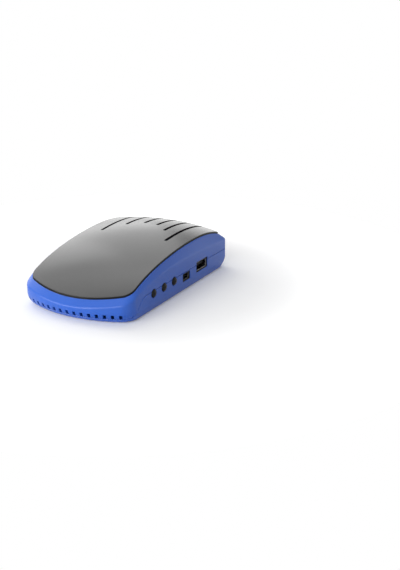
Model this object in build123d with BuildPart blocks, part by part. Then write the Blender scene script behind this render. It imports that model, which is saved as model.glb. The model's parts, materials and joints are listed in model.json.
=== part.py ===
from build123d import *
from math import atan2, comb, cos, degrees, pi, sin, sqrt
import os

# Satellite television receiver: a small set-top box with a domed black cover on a blue casing.
# Millimetres. +Z is up, -Y is the low bowed front, +X is the side with the buttons.
# The origin is on the floor, under the middle of the overall length and width.

os.makedirs("parts", exist_ok=True)

# ---- casing, in plan ----
body_width = 77.0
body_length = 135.0
front_bow = 10.3
rear_bow = 3.2
front_corner = 10.5
rear_corner = 4.0
wall = 2.0

# ---- casing, heights above the floor ----
floor_clearance = 0.6
flare_top = 8.0
lower_side_inset = 1.5
lower_front_inset = 3.6
lower_rear_inset = 5.0
crease_heights = (9.1, 23.4, 25.5, 18.6, 19.8)
rim_heights = (11.1, 30.4, 25.8, 36.2, 23.3)
crown_heights = (1.7, 1.5, 3.7)
sky = 60.0

# ---- recess for the top cover, in plan ----
recess_side_inset = 2.1
recess_front_inset = 4.5
recess_rear_inset = 8.0
recess_front_corner = 8.5
recess_rear_corner = 2.2
rim_land = 0.4

# ---- seam between the upper and lower shells ----
seam_front_height = 3.1
seam_height = 13.0
seam_rise_start = 10.2
seam_rise_end = 28.2

# ---- top cover ----
cover_proud = 1.2
cover_thickness = 2.0
cover_gap = 0.2
deck_thickness = 1.6
slot_count = 6
slot_pitch = 9.6
slot_width = 2.0
slot_length = 25.5
slot_length_gain = 0.04
slot_from_rear = 12.0
deck_window_margin = 0.9
peg_diameter = 3.0
peg_length = 3.4
peg_clearance = 0.15
peg_from_side = 7.5
peg_from_front = 40.0
peg_from_rear = 39.0

# ---- front air notches ----
notch_count = 15
notch_pitch = 4.9
notch_width = 2.0
notch_height = 2.9

# ---- side row: three buttons, a small port and a USB port ----
side_row_height = 11.5
button_from_front = 36.2
button_pitch = 12.2
button_count = 3
button_diameter = 5.1
button_gap = 0.3
button_proud = 1.3
button_dome = 1.2
button_flange_diameter = 7.2
button_flange = 0.9
button_flange_gap = 0.2
button_travel = 0.4
usb_from_front = 96.6
usb_opening_width = 15.0
usb_opening_height = 7.0
mini_from_front = 76.1
mini_opening_width = 9.5
mini_opening_height = 5.4
port_opening_corner = 0.6

# ---- circuit board ----
axis_above_board = 3.7
board_thickness = 1.6
board_side_gap = 2.0
board_front = 21.8
board_rear_gap = 5.8
board_corner = 3.0

# ---- screws, posts and feet ----
case_screw_from_side = (8.5, 6.0)
case_screw_from_front = 15.8
case_post_behind_usb = 1.0
case_post_diameter = 6.6
case_post_split = 5.6
case_screw_diameter = 2.6
case_screw_head = 5.0
case_screw_head_height = 1.8
case_screw_length = 10.0
post_hole_gap = 0.5
board_screw_from_side = (8.5, 7.5)
board_screw_from_front = 26.8
board_screw_behind_mini = 8.7
board_post_diameter = 6.0
board_screw_diameter = 2.2
board_screw_head = 4.6
board_screw_head_height = 1.6
board_screw_length = 4.6
thread_clearance = 0.05
head_clearance = 0.3
foot_diameter = 9.0
foot_height = 1.1
foot_clearance = 0.1
foot_from_side = 13.5
foot_from_front = 30.0
foot_from_rear = 15.0

# ---- rear sockets: the free width from the left screw post to the right wall is shared so ----
socket_gap_shares = (2.2, 1.5, 2.5, 3.0, 7.5)
rear_face_recess = 0.5
socket_clearance = 0.3

# ---- aerial socket and tuner ----
aerial_overhang = 8.5
aerial_thread_diameter = 9.4
aerial_neck_diameter = 8.8
aerial_bore = 6.4
aerial_axis_rise = 5.2
aerial_thread_stand_off = 0.35
aerial_pin_hole = 1.6
aerial_contact_diameter = 1.1
tuner_width = 18.0
tuner_length = 27.0
tuner_height = 10.0
tuner_wall = 0.5
tuner_rear_gap = 3.6

# ---- HDMI socket ----
hdmi_width = 15.0
hdmi_height = 5.6
hdmi_depth = 11.5
hdmi_lift = 0.3
sheet = 0.35
hdmi_tongue_width = 11.0
hdmi_tongue_thickness = 1.4
hdmi_tongue_depth = 7.0

# ---- sound and picture socket ----
sound_width = 7.0
sound_height = 6.2
sound_depth = 14.0
sound_nose_diameter = 6.0
sound_bore = 3.6
sound_bore_depth = 14.5
sound_axis_rise = 3.1
sound_sleeve_wall = 0.5
sound_sleeve_length = 2.0

# ---- power socket ----
power_width = 9.0
power_height = 10.6
power_depth = 13.5
power_nose_diameter = 7.8
power_bore = 6.2
power_bore_depth = 9.5
power_pin_diameter = 2.0
power_pin_length = 8.6
power_axis_rise = 6.2

# ---- USB socket ----
usb_shell_width = 13.2
usb_shell_height = 5.8
usb_depth = 14.0
usb_recess = 0.8
usb_tongue_width = 11.0
usb_tongue_thickness = 1.8
usb_tongue_depth = 8.4
usb_block_depth = 4.2
usb_contact_width = 1.0
usb_contact_pitch = 2.4
usb_contact_thickness = 0.25
leg_width = 1.4

# ---- small port ----
mini_shell_width = 7.7
mini_shell_height = 4.0
mini_depth = 9.0
mini_recess = 0.9
mini_chamfer = 0.9
mini_tongue_width = 3.8
mini_tongue_thickness = 1.0
mini_tongue_depth = 5.0
mini_block_depth = 3.0

# ---- tact switches ----
switch_width = 6.6
switch_height = 7.2
switch_depth = 3.4
switch_face_gap = 1.4
plunger_diameter = 3.0
plunger_gap = 0.3
plunger_depth = 1.4
plunger_well_gap = 0.3

# ---- parts on the board ----
processor_size = 15.0
processor_height = 1.4
processor_x = 2.0
processor_from_front = 64.0
pad_thickness = 0.5
pad_size = 13.0
sink_size = 22.0
sink_base = 1.6
sink_height = 8.0
sink_fins = 7
sink_fin_thickness = 1.0
memory_width = 9.0
memory_length = 13.5
memory_height = 1.1
memory_x = -19.0
flash_width = 5.2
flash_length = 5.2
flash_height = 1.8
flash_x = -20.0
flash_from_front = 45.0
capacitor_diameter = 6.3
capacitor_height = 7.7
capacitor_usb_gap = 2.05
capacitor_pitch = 8.5
capacitor_from_rear = 49.0
inductor_size = 5.6
inductor_height = 3.2
inductor_x = 4.0
inductor_from_rear = 35.0
inductor_pitch = 8.0
crystal_width = 4.4
crystal_length = 10.6
crystal_height = 3.4
crystal_x = -14.0
crystal_from_front = 78.0
regulator_width = 6.5
regulator_length = 6.5
regulator_height = 2.3
regulator_from_rear = 25.0
eye_width = 5.2
eye_depth = 3.0
eye_height = 6.8
eye_lens_radius = 1.9
eye_x = 8.0
lamp_diameter = 3.0
lamp_height = 3.6
lamp_x = -6.0
front_part_setback = 1.6
tuner_chip_size = 6.0
tuner_chip_height = 0.9

# ---- places worked out from the sizes above ----
half_width = body_width / 2
overall_length = body_length + aerial_overhang
front_y = -overall_length / 2
rear_y = front_y + body_length
front_bow_radius = (half_width**2 + front_bow**2) / (2 * front_bow)
rear_bow_radius = (half_width**2 + rear_bow**2) / (2 * rear_bow)
recess_front_y = front_y + recess_front_inset
recess_rear_y = rear_y - recess_rear_inset
recess_half_width = half_width - recess_side_inset
board_top = side_row_height - axis_above_board
board_bottom = board_top - board_thickness
board_half_width = half_width - wall - board_side_gap
board_front_y = front_y + board_front
board_rear_y = rear_y - board_rear_gap
floor_top = floor_clearance + wall
left_post_side = case_screw_from_side[1] + case_post_diameter / 2 - half_width
socket_room = half_width - wall - left_post_side
socket_free_width = socket_room - tuner_width - hdmi_width - sound_width - power_width
socket_gaps = [socket_free_width * share / sum(socket_gap_shares) for share in socket_gap_shares]
aerial_x = left_post_side + socket_gaps[0] + tuner_width / 2
hdmi_x = aerial_x + tuner_width / 2 + socket_gaps[1] + hdmi_width / 2
sound_x = hdmi_x + hdmi_width / 2 + socket_gaps[2] + sound_width / 2
power_x = sound_x + sound_width / 2 + socket_gaps[3] + power_width / 2
usb_back = half_width - usb_recess - usb_depth
capacitor_x = usb_back - capacitor_usb_gap - capacitor_diameter / 2
seat_lift = cover_proud - cover_thickness
deck_lift = seat_lift - deck_thickness


# ---- shapes of the casing ----
def blend_heights(t, heights):
    """Smooth curve from the first height at t = 0 to the last at t = 1, drawn towards those between."""
    order = len(heights) - 1
    return sum(comb(order, i) * t**i * (1 - t) ** (order - i) * h for i, h in enumerate(heights))


def crease_height(y):
    """Height of the line where the side wall turns into the sloped shoulder."""
    return blend_heights((y - front_y) / body_length, crease_heights)


def dome_height(x, y, lift):
    """Height of the domed surface that the rim, the cover and its seat all follow."""
    t = (y - recess_front_y) / (recess_rear_y - recess_front_y)
    crown = blend_heights(t, crown_heights)
    return blend_heights(t, rim_heights) + crown * (1 - (x / recess_half_width) ** 2) + lift


def straight(start, end):
    """Point function along a straight side."""

    def place(u):
        return (start[0] + (end[0] - start[0]) * u, start[1] + (end[1] - start[1]) * u)

    return place


def bend(centre, radius, start, end):
    """Point function along an arc, with its angles in radians."""

    def place(u):
        angle = start + (end - start) * u
        return (centre[0] + radius * cos(angle), centre[1] + radius * sin(angle))

    return place


def plan_runs(side_inset, front_inset, rear_inset, front_round, rear_round):
    """The casing's plan outline, drawn in by three insets: eight runs, counter-clockwise."""
    half = half_width - side_inset
    front_radius = front_bow_radius - front_inset
    rear_radius = rear_bow_radius - rear_inset
    front_centre = front_y + front_bow_radius
    rear_centre = rear_y - rear_bow_radius
    front_corner_y = front_centre - sqrt((front_radius - front_round) ** 2 - (half - front_round) ** 2)
    rear_corner_y = rear_centre + sqrt((rear_radius - rear_round) ** 2 - (half - rear_round) ** 2)
    front_turn = atan2(front_corner_y - front_centre, half - front_round)
    rear_turn = atan2(rear_corner_y - rear_centre, half - rear_round)
    return [
        straight((half, front_corner_y), (half, rear_corner_y)),
        bend((half - rear_round, rear_corner_y), rear_round, 0, rear_turn),
        bend((0, rear_centre), rear_radius, rear_turn, pi - rear_turn),
        bend((rear_round - half, rear_corner_y), rear_round, pi - rear_turn, pi),
        straight((-half, rear_corner_y), (-half, front_corner_y)),
        bend((front_round - half, front_corner_y), front_round, pi, pi - front_turn),
        bend((0, front_centre), front_radius, -pi - front_turn, front_turn),
        bend((half - front_round, front_corner_y), front_round, front_turn, 0),
    ]


def plan_face(runs, height):
    """Flat face at a height, inside the eight runs of a plan outline."""
    with BuildSketch(Plane.XY.offset(height)) as sketch:
        with BuildLine():
            for number, place in enumerate(runs):
                if number in (0, 4):
                    Line(place(0), place(1))
                else:
                    ThreePointArc(place(0), place(0.5), place(1))
        make_face()
    return sketch.sketch


def recess_runs(offset):
    """Plan outline of the recess for the top cover, drawn in by an offset all round."""
    return plan_runs(
        recess_side_inset + offset,
        recess_front_inset + offset,
        recess_rear_inset + offset,
        recess_front_corner - offset,
        recess_rear_corner - offset / 2,
    )


def lower_runs(height, offset):
    """Plan outline of the flared lower wall at a height, drawn in by an offset all round."""
    pull = max(0.0, (flare_top - height) / (flare_top - floor_clearance)) ** 2
    return plan_runs(
        lower_side_inset * pull + offset,
        lower_front_inset * pull + offset,
        lower_rear_inset * pull + offset,
        front_corner - offset,
        rear_corner - offset / 2,
    )


def shoulder_loops(offset):
    """Points along the outer skirt line and the rim line of the shoulder, run by run."""
    crease_runs = plan_runs(offset, offset, offset, front_corner - offset, rear_corner - offset / 2)
    rim_runs = recess_runs(offset - rim_land)
    drop = offset / 2
    samples = 9
    skirt, rim = [], []
    for low, high in zip(crease_runs, rim_runs):
        skirt_points, rim_points = [], []
        for step in range(samples):
            u = step / (samples - 1)
            low_x, low_y = low(u)
            high_x, high_y = high(u)
            foot = Vector(low_x, low_y, crease_height(low_y) - drop)
            head = Vector(high_x, high_y, dome_height(high_x, high_y, 0) - drop)
            skirt_points.append(foot + (foot - head) * 0.5)
            rim_points.append(head)
        skirt.append(skirt_points)
        rim.append(rim_points)
    return skirt, rim


def shoulder_tower(offset):
    """Tall closed solid whose sloped band is the shoulder, wider than the casing below it."""
    skirt, rim = shoulder_loops(offset)
    levels = [
        [[Vector(p.X, p.Y, -sky) for p in run] for run in skirt],
        skirt,
        rim,
        [[Vector(p.X, p.Y, sky) for p in run] for run in rim],
    ]
    curves = [[Edge.make_spline(run) for run in level] for level in levels]
    faces = []
    for low, high in zip(curves, curves[1:]):
        faces += [Face.make_surface_from_curves(a, b) for a, b in zip(low, high)]
    faces.append(Face(Wire(curves[0])))
    faces.append(Face(Wire(curves[-1])))
    return Solid(Shell(faces))


def under_dome(lift):
    """Solid block whose top is the domed surface raised by a lift."""
    across, along = 9, 25
    reach = 6.0
    span = recess_half_width + reach
    start = front_y - reach
    length = body_length + 2 * reach
    grid = [
        [
            Vector(x, y, dome_height(x, y, lift))
            for y in [start + length * j / (along - 1) for j in range(along)]
        ]
        for x in [-span + 2 * span * i / (across - 1) for i in range(across)]
    ]
    top = Face.make_surface_from_array_of_points(grid)
    return Solid.extrude(top, Vector(0, 0, -2 * sky))


def casing_form(offset, bottom, lift):
    """Closed outer form of the casing, drawn in by an offset, from a bottom height to the dome."""
    steps = 4
    heights = [bottom + (flare_top - bottom) * i / steps for i in range(steps + 1)]
    flare = [plan_face(lower_runs(h, offset), h) for h in heights]
    with BuildPart() as form:
        loft(sections=flare)
        with BuildSketch(Plane.XY.offset(flare_top)):
            add(plan_face(lower_runs(flare_top, offset), 0))
        extrude(amount=sky - flare_top)
        add(shoulder_tower(offset), mode=Mode.INTERSECT)
        add(under_dome(lift), mode=Mode.INTERSECT)
    return form.part


outer_form = casing_form(0, floor_clearance, 0)
inner_form = casing_form(wall, floor_top, deck_lift)


# ---- places shared by the pieces ----
def rear_face_y(x):
    """Place along Y of the casing's outer rear face at a distance across."""
    return rear_y - rear_bow_radius + sqrt(rear_bow_radius**2 - x**2)


def mirrored_pairs(from_side, places_along):
    """Places on both sides of the casing, each at its distance from the side walls."""
    return [
        (side * (half_width - inset), y)
        for inset, y in zip(from_side, places_along)
        for side in (-1, 1)
    ]


usb_y = front_y + usb_from_front
mini_y = front_y + mini_from_front
case_post_rear = usb_y + usb_opening_width / 2 + case_post_behind_usb + case_post_diameter / 2
case_screw_places = mirrored_pairs(
    case_screw_from_side, (front_y + case_screw_from_front, case_post_rear)
)
board_screw_places = mirrored_pairs(
    board_screw_from_side, (front_y + board_screw_from_front, mini_y + board_screw_behind_mini)
)
peg_places = mirrored_pairs(
    (peg_from_side, peg_from_side), (front_y + peg_from_front, rear_y - peg_from_rear)
)
foot_places = mirrored_pairs(
    (foot_from_side, foot_from_side), (front_y + foot_from_front, rear_y - foot_from_rear)
)
button_places = [front_y + button_from_front + button_pitch * i for i in range(button_count)]
button_names = ["front", "middle", "rear"]
mini_axis = board_top + mini_shell_height / 2
hdmi_axis = board_top + hdmi_lift + hdmi_height / 2
sound_axis = board_top + sound_axis_rise
power_axis = board_top + power_axis_rise
aerial_axis = board_top + aerial_axis_rise
case_head_bottom = floor_clearance + head_clearance
case_head_top = case_head_bottom + case_screw_head_height
case_screw_tip = case_head_top + case_screw_length
slot_places = [slot_pitch * (i - (slot_count - 1) / 2) for i in range(slot_count)]
slot_end = rear_y - slot_from_rear
slot_fronts = [slot_end - slot_length - slot_length_gain * x**2 for x in slot_places]

# ---- cutting bodies shared by the two shells ----
with BuildPart() as below_seam:
    seam_low = front_y + seam_rise_start
    seam_high = front_y + seam_rise_end
    seam_middle = (seam_low + seam_high) / 2
    with BuildSketch(Plane.YZ):
        with BuildLine():
            Polyline(
                (seam_low, seam_front_height),
                (-overall_length, seam_front_height),
                (-overall_length, -sky),
                (overall_length, -sky),
                (overall_length, seam_height),
                (seam_high, seam_height),
            )
            Bezier(
                (seam_high, seam_height),
                (seam_middle, seam_height),
                (seam_middle, seam_front_height),
                (seam_low, seam_front_height),
            )
        make_face()
    extrude(amount=body_width, both=True)

with BuildPart() as openings:
    with BuildSketch(Plane.YZ.offset(half_width - 2 * wall)):
        with Locations((usb_y, side_row_height)):
            RectangleRounded(usb_opening_width, usb_opening_height, port_opening_corner)
        with Locations((mini_y, mini_axis)):
            RectangleRounded(mini_opening_width, mini_opening_height, port_opening_corner)
        with Locations(*[(y, side_row_height) for y in button_places]):
            Circle(button_diameter / 2 + button_gap)
    extrude(amount=3 * wall)
    with BuildSketch(Plane.XZ.offset(-rear_y - wall)):
        with Locations((hdmi_x, hdmi_axis)):
            RectangleRounded(
                hdmi_width + 2 * socket_clearance,
                hdmi_height + 2 * socket_clearance,
                port_opening_corner,
            )
        with Locations((sound_x, sound_axis)):
            Circle(sound_nose_diameter / 2 + socket_clearance)
        with Locations((power_x, power_axis)):
            Circle(power_nose_diameter / 2 + socket_clearance)
        with Locations((aerial_x, aerial_axis)):
            Circle(aerial_thread_diameter / 2 + socket_clearance)
    extrude(amount=3 * wall + rear_bow)

with BuildPart() as cover_recess:
    with BuildSketch(Plane.XY):
        add(plan_face(recess_runs(0), 0))
    extrude(amount=sky)
    add(under_dome(seat_lift), mode=Mode.SUBTRACT)

with BuildPart() as upper_void:
    add(inner_form)
    with BuildSketch(Plane.XY.offset(case_post_split)):
        with Locations(*case_screw_places):
            Circle(case_post_diameter / 2)
    extrude(amount=sky, mode=Mode.SUBTRACT)

with BuildPart() as lower_void:
    add(inner_form)
    with BuildSketch(Plane.XY):
        with Locations(*case_screw_places):
            Circle(case_post_diameter / 2)
    extrude(amount=case_post_split, mode=Mode.SUBTRACT)
    with BuildSketch(Plane.XY):
        with Locations(*board_screw_places):
            Circle(board_post_diameter / 2)
    extrude(amount=board_bottom, mode=Mode.SUBTRACT)

# ---- upper shell: shoulder, side walls, deck under the cover, screw posts ----
with BuildPart() as upper_shell:
    add(outer_form)
    add(below_seam.part, mode=Mode.SUBTRACT)
    add(upper_void.part, mode=Mode.SUBTRACT)
    add(openings.part, mode=Mode.SUBTRACT)
    add(cover_recess.part, mode=Mode.SUBTRACT)
    with BuildSketch(Plane.XY.offset(seam_height)):
        for x, front in zip(slot_places, slot_fronts):
            with Locations((x, (front + slot_end) / 2)):
                Rectangle(
                    slot_width + 2 * deck_window_margin,
                    slot_end - front + 2 * deck_window_margin,
                )
        with Locations(*peg_places):
            Circle(peg_diameter / 2 + peg_clearance)
    extrude(amount=sky, mode=Mode.SUBTRACT)
    notch_span = degrees(notch_pitch * (notch_count - 1) / front_bow_radius)
    with BuildSketch(Plane.XY.offset(seam_front_height)):
        with Locations((0, front_y + front_bow_radius)):
            with PolarLocations(
                radius=front_bow_radius,
                count=notch_count,
                start_angle=-90 - notch_span / 2,
                angular_range=notch_span,
                endpoint=True,
            ):
                Rectangle(5 * wall, notch_width)
    extrude(amount=notch_height, mode=Mode.SUBTRACT)
    with BuildSketch(Plane.XY.offset(case_post_split)):
        with Locations(*case_screw_places):
            Circle(case_screw_diameter / 2 + thread_clearance)
    extrude(amount=case_screw_tip - case_post_split + head_clearance, mode=Mode.SUBTRACT)
upper_shell.part.label = "upper_shell"
export_step(upper_shell.part, "parts/upper_shell.step")

# ---- lower shell: tray with posts for the case screws and the board ----
with BuildPart() as lower_shell:
    add(outer_form)
    add(below_seam.part, mode=Mode.INTERSECT)
    add(lower_void.part, mode=Mode.SUBTRACT)
    add(openings.part, mode=Mode.SUBTRACT)
    with BuildSketch(Plane.XY):
        with Locations(*case_screw_places):
            Circle(case_screw_head / 2 + head_clearance)
    extrude(amount=case_head_top, mode=Mode.SUBTRACT)
    with BuildSketch(Plane.XY):
        with Locations(*case_screw_places):
            Circle(case_screw_diameter / 2 + head_clearance)
    extrude(amount=case_post_split, mode=Mode.SUBTRACT)
    with BuildSketch(Plane.XY.offset(board_bottom)):
        with Locations(*board_screw_places):
            Circle(board_screw_diameter / 2 + thread_clearance)
    extrude(amount=-(board_screw_length - board_thickness + head_clearance / 2), mode=Mode.SUBTRACT)
    with BuildSketch(Plane.XY):
        with Locations(*foot_places):
            Circle(foot_diameter / 2 + foot_clearance)
    extrude(amount=foot_height, mode=Mode.SUBTRACT)
lower_shell.part.label = "lower_shell"
export_step(lower_shell.part, "parts/lower_shell.step")

# ---- top cover: domed plate with six air slots and four locating pegs ----
with BuildPart() as top_cover:
    with BuildSketch(Plane.XY):
        add(plan_face(recess_runs(cover_gap), 0))
    extrude(amount=sky)
    add(under_dome(cover_proud), mode=Mode.INTERSECT)
    add(under_dome(seat_lift), mode=Mode.SUBTRACT)
    with BuildSketch(Plane.XY):
        for x, front in zip(slot_places, slot_fronts):
            with Locations((x, (front + slot_end) / 2)):
                SlotOverall(slot_end - front, slot_width, rotation=90)
    extrude(amount=sky, mode=Mode.SUBTRACT)
    for x, y in peg_places:
        seat = dome_height(x, y, seat_lift)
        with BuildSketch(Plane.XY.offset(seat - peg_length)):
            with Locations((x, y)):
                Circle(peg_diameter / 2)
        extrude(amount=peg_length + cover_thickness / 2)
top_cover.part.label = "top_cover"
export_step(top_cover.part, "parts/top_cover.step")

# ---- circuit board ----
with BuildPart() as main_board:
    with BuildSketch(Plane.XY.offset(board_bottom)):
        with Locations((0, (board_front_y + board_rear_y) / 2)):
            RectangleRounded(2 * board_half_width, board_rear_y - board_front_y, board_corner)
        with Locations(*case_screw_places):
            Circle(case_post_diameter / 2 + post_hole_gap, mode=Mode.SUBTRACT)
        with Locations(*board_screw_places):
            Circle(board_screw_diameter / 2 + head_clearance, mode=Mode.SUBTRACT)
    extrude(amount=board_thickness)
main_board.part.label = "main_board"
export_step(main_board.part, "parts/main_board.step")

# ---- screws and feet ----
with BuildPart() as case_screws:
    with BuildSketch(Plane.XY.offset(case_head_bottom)):
        with Locations(*case_screw_places):
            Circle(case_screw_head / 2)
            RegularPolygon(case_screw_diameter / 2, 6, mode=Mode.SUBTRACT)
    extrude(amount=case_screw_head_height / 2)
    with BuildSketch(Plane.XY.offset(case_head_bottom + case_screw_head_height / 2)):
        with Locations(*case_screw_places):
            Circle(case_screw_head / 2)
    extrude(amount=case_screw_head_height / 2)
    with BuildSketch(Plane.XY.offset(case_head_top)):
        with Locations(*case_screw_places):
            Circle(case_screw_diameter / 2)
    extrude(amount=case_screw_length)
case_screws.part.label = "case_screws"
export_step(case_screws.part, "parts/case_screws.step")

with BuildPart() as board_screws:
    with BuildSketch(Plane.XY.offset(board_top)):
        with Locations(*board_screw_places):
            Circle(board_screw_head / 2)
    extrude(amount=board_screw_head_height)
    with BuildSketch(Plane.XY.offset(board_top)):
        with Locations(*board_screw_places):
            Circle(board_screw_diameter / 2)
    extrude(amount=-board_screw_length)
board_screws.part.label = "board_screws"
export_step(board_screws.part, "parts/board_screws.step")

with BuildPart() as feet:
    with BuildSketch(Plane.XY):
        with Locations(*foot_places):
            Circle(foot_diameter / 2)
    extrude(amount=foot_height)
    chamfer(feet.edges().group_by(Axis.Z)[0], length=floor_clearance / 2)
feet.part.label = "feet"
export_step(feet.part, "parts/feet.step")

# ---- push buttons, their plungers and switches ----
flange_front = half_width - wall - button_flange_gap
flange_back = flange_front - button_flange
switch_face = flange_back - switch_face_gap
for name, y in zip(button_names, button_places):
    with BuildPart() as button:
        with BuildSketch(Plane.YZ.offset(flange_back)):
            with Locations((y, side_row_height)):
                Circle(button_diameter / 2)
        extrude(amount=half_width + button_proud - flange_back)
        fillet(button.edges().group_by(Axis.X)[-1], radius=button_dome)
        with BuildSketch(Plane.YZ.offset(flange_back)):
            with Locations((y, side_row_height)):
                Circle(button_flange_diameter / 2)
        extrude(amount=button_flange)
    button.part.label = f"button_{name}"
    export_step(button.part, f"parts/button_{name}.step")

    with BuildPart() as plunger:
        with BuildSketch(Plane.YZ.offset(flange_back)):
            with Locations((y, side_row_height)):
                Circle(plunger_diameter / 2)
        extrude(amount=-(switch_face_gap + plunger_depth))
    plunger.part.label = f"plunger_{name}"
    export_step(plunger.part, f"parts/plunger_{name}.step")

    with BuildPart() as switch:
        with BuildSketch(Plane.YZ.offset(switch_face - switch_depth)):
            with Locations((y, board_top + switch_height / 2)):
                Rectangle(switch_width, switch_height)
        extrude(amount=switch_depth)
        with BuildSketch(Plane.YZ.offset(switch_face)):
            with Locations((y, side_row_height)):
                Circle(plunger_diameter / 2 + plunger_gap)
        extrude(amount=-(plunger_depth + button_travel + plunger_well_gap), mode=Mode.SUBTRACT)
    switch.part.label = f"switch_{name}"
    export_step(switch.part, f"parts/switch_{name}.step")

# ---- USB socket ----
usb_face = half_width - usb_recess
usb_inner_width = usb_shell_width - 2 * sheet
usb_inner_height = usb_shell_height - 2 * sheet
with BuildPart() as usb_shell:
    with BuildSketch(Plane.YZ.offset(usb_back)):
        with Locations((usb_y, side_row_height)):
            RectangleRounded(usb_shell_width, usb_shell_height, 2 * sheet)
            RectangleRounded(usb_inner_width, usb_inner_height, sheet, mode=Mode.SUBTRACT)
    extrude(amount=usb_depth)
    leg_top = side_row_height - usb_shell_height / 4
    with BuildSketch(Plane.XY.offset(board_top)):
        for side in (-1, 1):
            for x in (usb_back + leg_width, board_half_width - leg_width):
                with Locations((x, usb_y + side * (usb_shell_width - sheet) / 2)):
                    Rectangle(leg_width, sheet)
    extrude(amount=leg_top - board_top)
usb_shell.part.label = "usb_shell"
export_step(usb_shell.part, "parts/usb_shell.step")

with BuildPart() as usb_tongue:
    with BuildSketch(Plane.YZ.offset(usb_back)):
        with Locations((usb_y, side_row_height)):
            RectangleRounded(
                usb_inner_width - 2 * thread_clearance,
                usb_inner_height - 2 * thread_clearance,
                sheet,
            )
    extrude(amount=usb_block_depth)
    with BuildSketch(Plane.YZ.offset(usb_back + usb_block_depth)):
        with Locations((usb_y, side_row_height + usb_tongue_thickness / 4)):
            Rectangle(usb_tongue_width, usb_tongue_thickness)
    extrude(amount=usb_tongue_depth)
usb_tongue.part.label = "usb_tongue"
export_step(usb_tongue.part, "parts/usb_tongue.step")

with BuildPart() as usb_contacts:
    contact_top = side_row_height - usb_tongue_thickness / 4
    contact_length = usb_tongue_depth - 2 * usb_contact_width
    with BuildSketch(Plane.XY.offset(contact_top)):
        with Locations((usb_back + usb_block_depth + contact_length / 2, usb_y)):
            with GridLocations(1, usb_contact_pitch, 1, 4):
                Rectangle(contact_length, usb_contact_width)
    extrude(amount=-usb_contact_thickness)
usb_contacts.part.label = "usb_contacts"
export_step(usb_contacts.part, "parts/usb_contacts.step")

# ---- small port ----
mini_back = half_width - mini_recess - mini_depth
with BuildPart() as mini_shell:
    with BuildSketch(Plane.YZ.offset(mini_back)) as mini_outline:
        with Locations((mini_y, mini_axis)):
            Rectangle(mini_shell_width, mini_shell_height)
        chamfer(mini_outline.vertices().group_by(Axis.Z)[0], length=mini_chamfer)
        offset(amount=-sheet, kind=Kind.INTERSECTION, mode=Mode.SUBTRACT)
    extrude(amount=mini_depth)
mini_shell.part.label = "mini_port_shell"
export_step(mini_shell.part, "parts/mini_port_shell.step")

with BuildPart() as mini_tongue:
    with BuildSketch(Plane.YZ.offset(mini_back)) as mini_block:
        with Locations((mini_y, mini_axis)):
            Rectangle(mini_shell_width, mini_shell_height)
        chamfer(mini_block.vertices().group_by(Axis.Z)[0], length=mini_chamfer)
        offset(amount=-sheet - thread_clearance, kind=Kind.INTERSECTION, mode=Mode.REPLACE)
    extrude(amount=mini_block_depth)
    with BuildSketch(Plane.YZ.offset(mini_back + mini_block_depth)):
        with Locations((mini_y, mini_axis)):
            Rectangle(mini_tongue_width, mini_tongue_thickness)
    extrude(amount=mini_tongue_depth)
mini_tongue.part.label = "mini_port_tongue"
export_step(mini_tongue.part, "parts/mini_port_tongue.step")

# ---- HDMI socket ----
hdmi_face = rear_face_y(hdmi_x) - rear_face_recess
with BuildPart() as hdmi_shell:
    with BuildSketch(Plane.XZ.offset(-hdmi_face)) as hdmi_outline:
        with Locations((hdmi_x, hdmi_axis)):
            Rectangle(hdmi_width, hdmi_height)
        chamfer(hdmi_outline.vertices().group_by(Axis.Z)[0], length=hdmi_height / 3)
        offset(amount=-sheet, kind=Kind.INTERSECTION, mode=Mode.SUBTRACT)
    extrude(amount=hdmi_depth)
    with BuildSketch(Plane.XY.offset(board_top)):
        for side in (-1, 1):
            leg_x = hdmi_x + side * (hdmi_width - sheet) / 2
            with Locations((leg_x, hdmi_face - hdmi_depth + leg_width)):
                Rectangle(sheet, leg_width)
    extrude(amount=hdmi_axis - board_top)
hdmi_shell.part.label = "hdmi_shell"
export_step(hdmi_shell.part, "parts/hdmi_shell.step")

with BuildPart() as hdmi_tongue:
    with BuildSketch(Plane.XZ.offset(-hdmi_face + hdmi_depth)) as hdmi_block:
        with Locations((hdmi_x, hdmi_axis)):
            Rectangle(hdmi_width, hdmi_height)
        chamfer(hdmi_block.vertices().group_by(Axis.Z)[0], length=hdmi_height / 3)
        offset(amount=-sheet - thread_clearance, kind=Kind.INTERSECTION, mode=Mode.REPLACE)
    extrude(amount=-(hdmi_depth - hdmi_tongue_depth) / 2)
    with BuildSketch(Plane.XZ.offset(-hdmi_face + hdmi_depth)):
        with Locations((hdmi_x, hdmi_axis)):
            Rectangle(hdmi_tongue_width, hdmi_tongue_thickness)
    extrude(amount=-(hdmi_depth - hdmi_tongue_depth) / 2 - hdmi_tongue_depth)
hdmi_tongue.part.label = "hdmi_tongue"
export_step(hdmi_tongue.part, "parts/hdmi_tongue.step")

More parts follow.
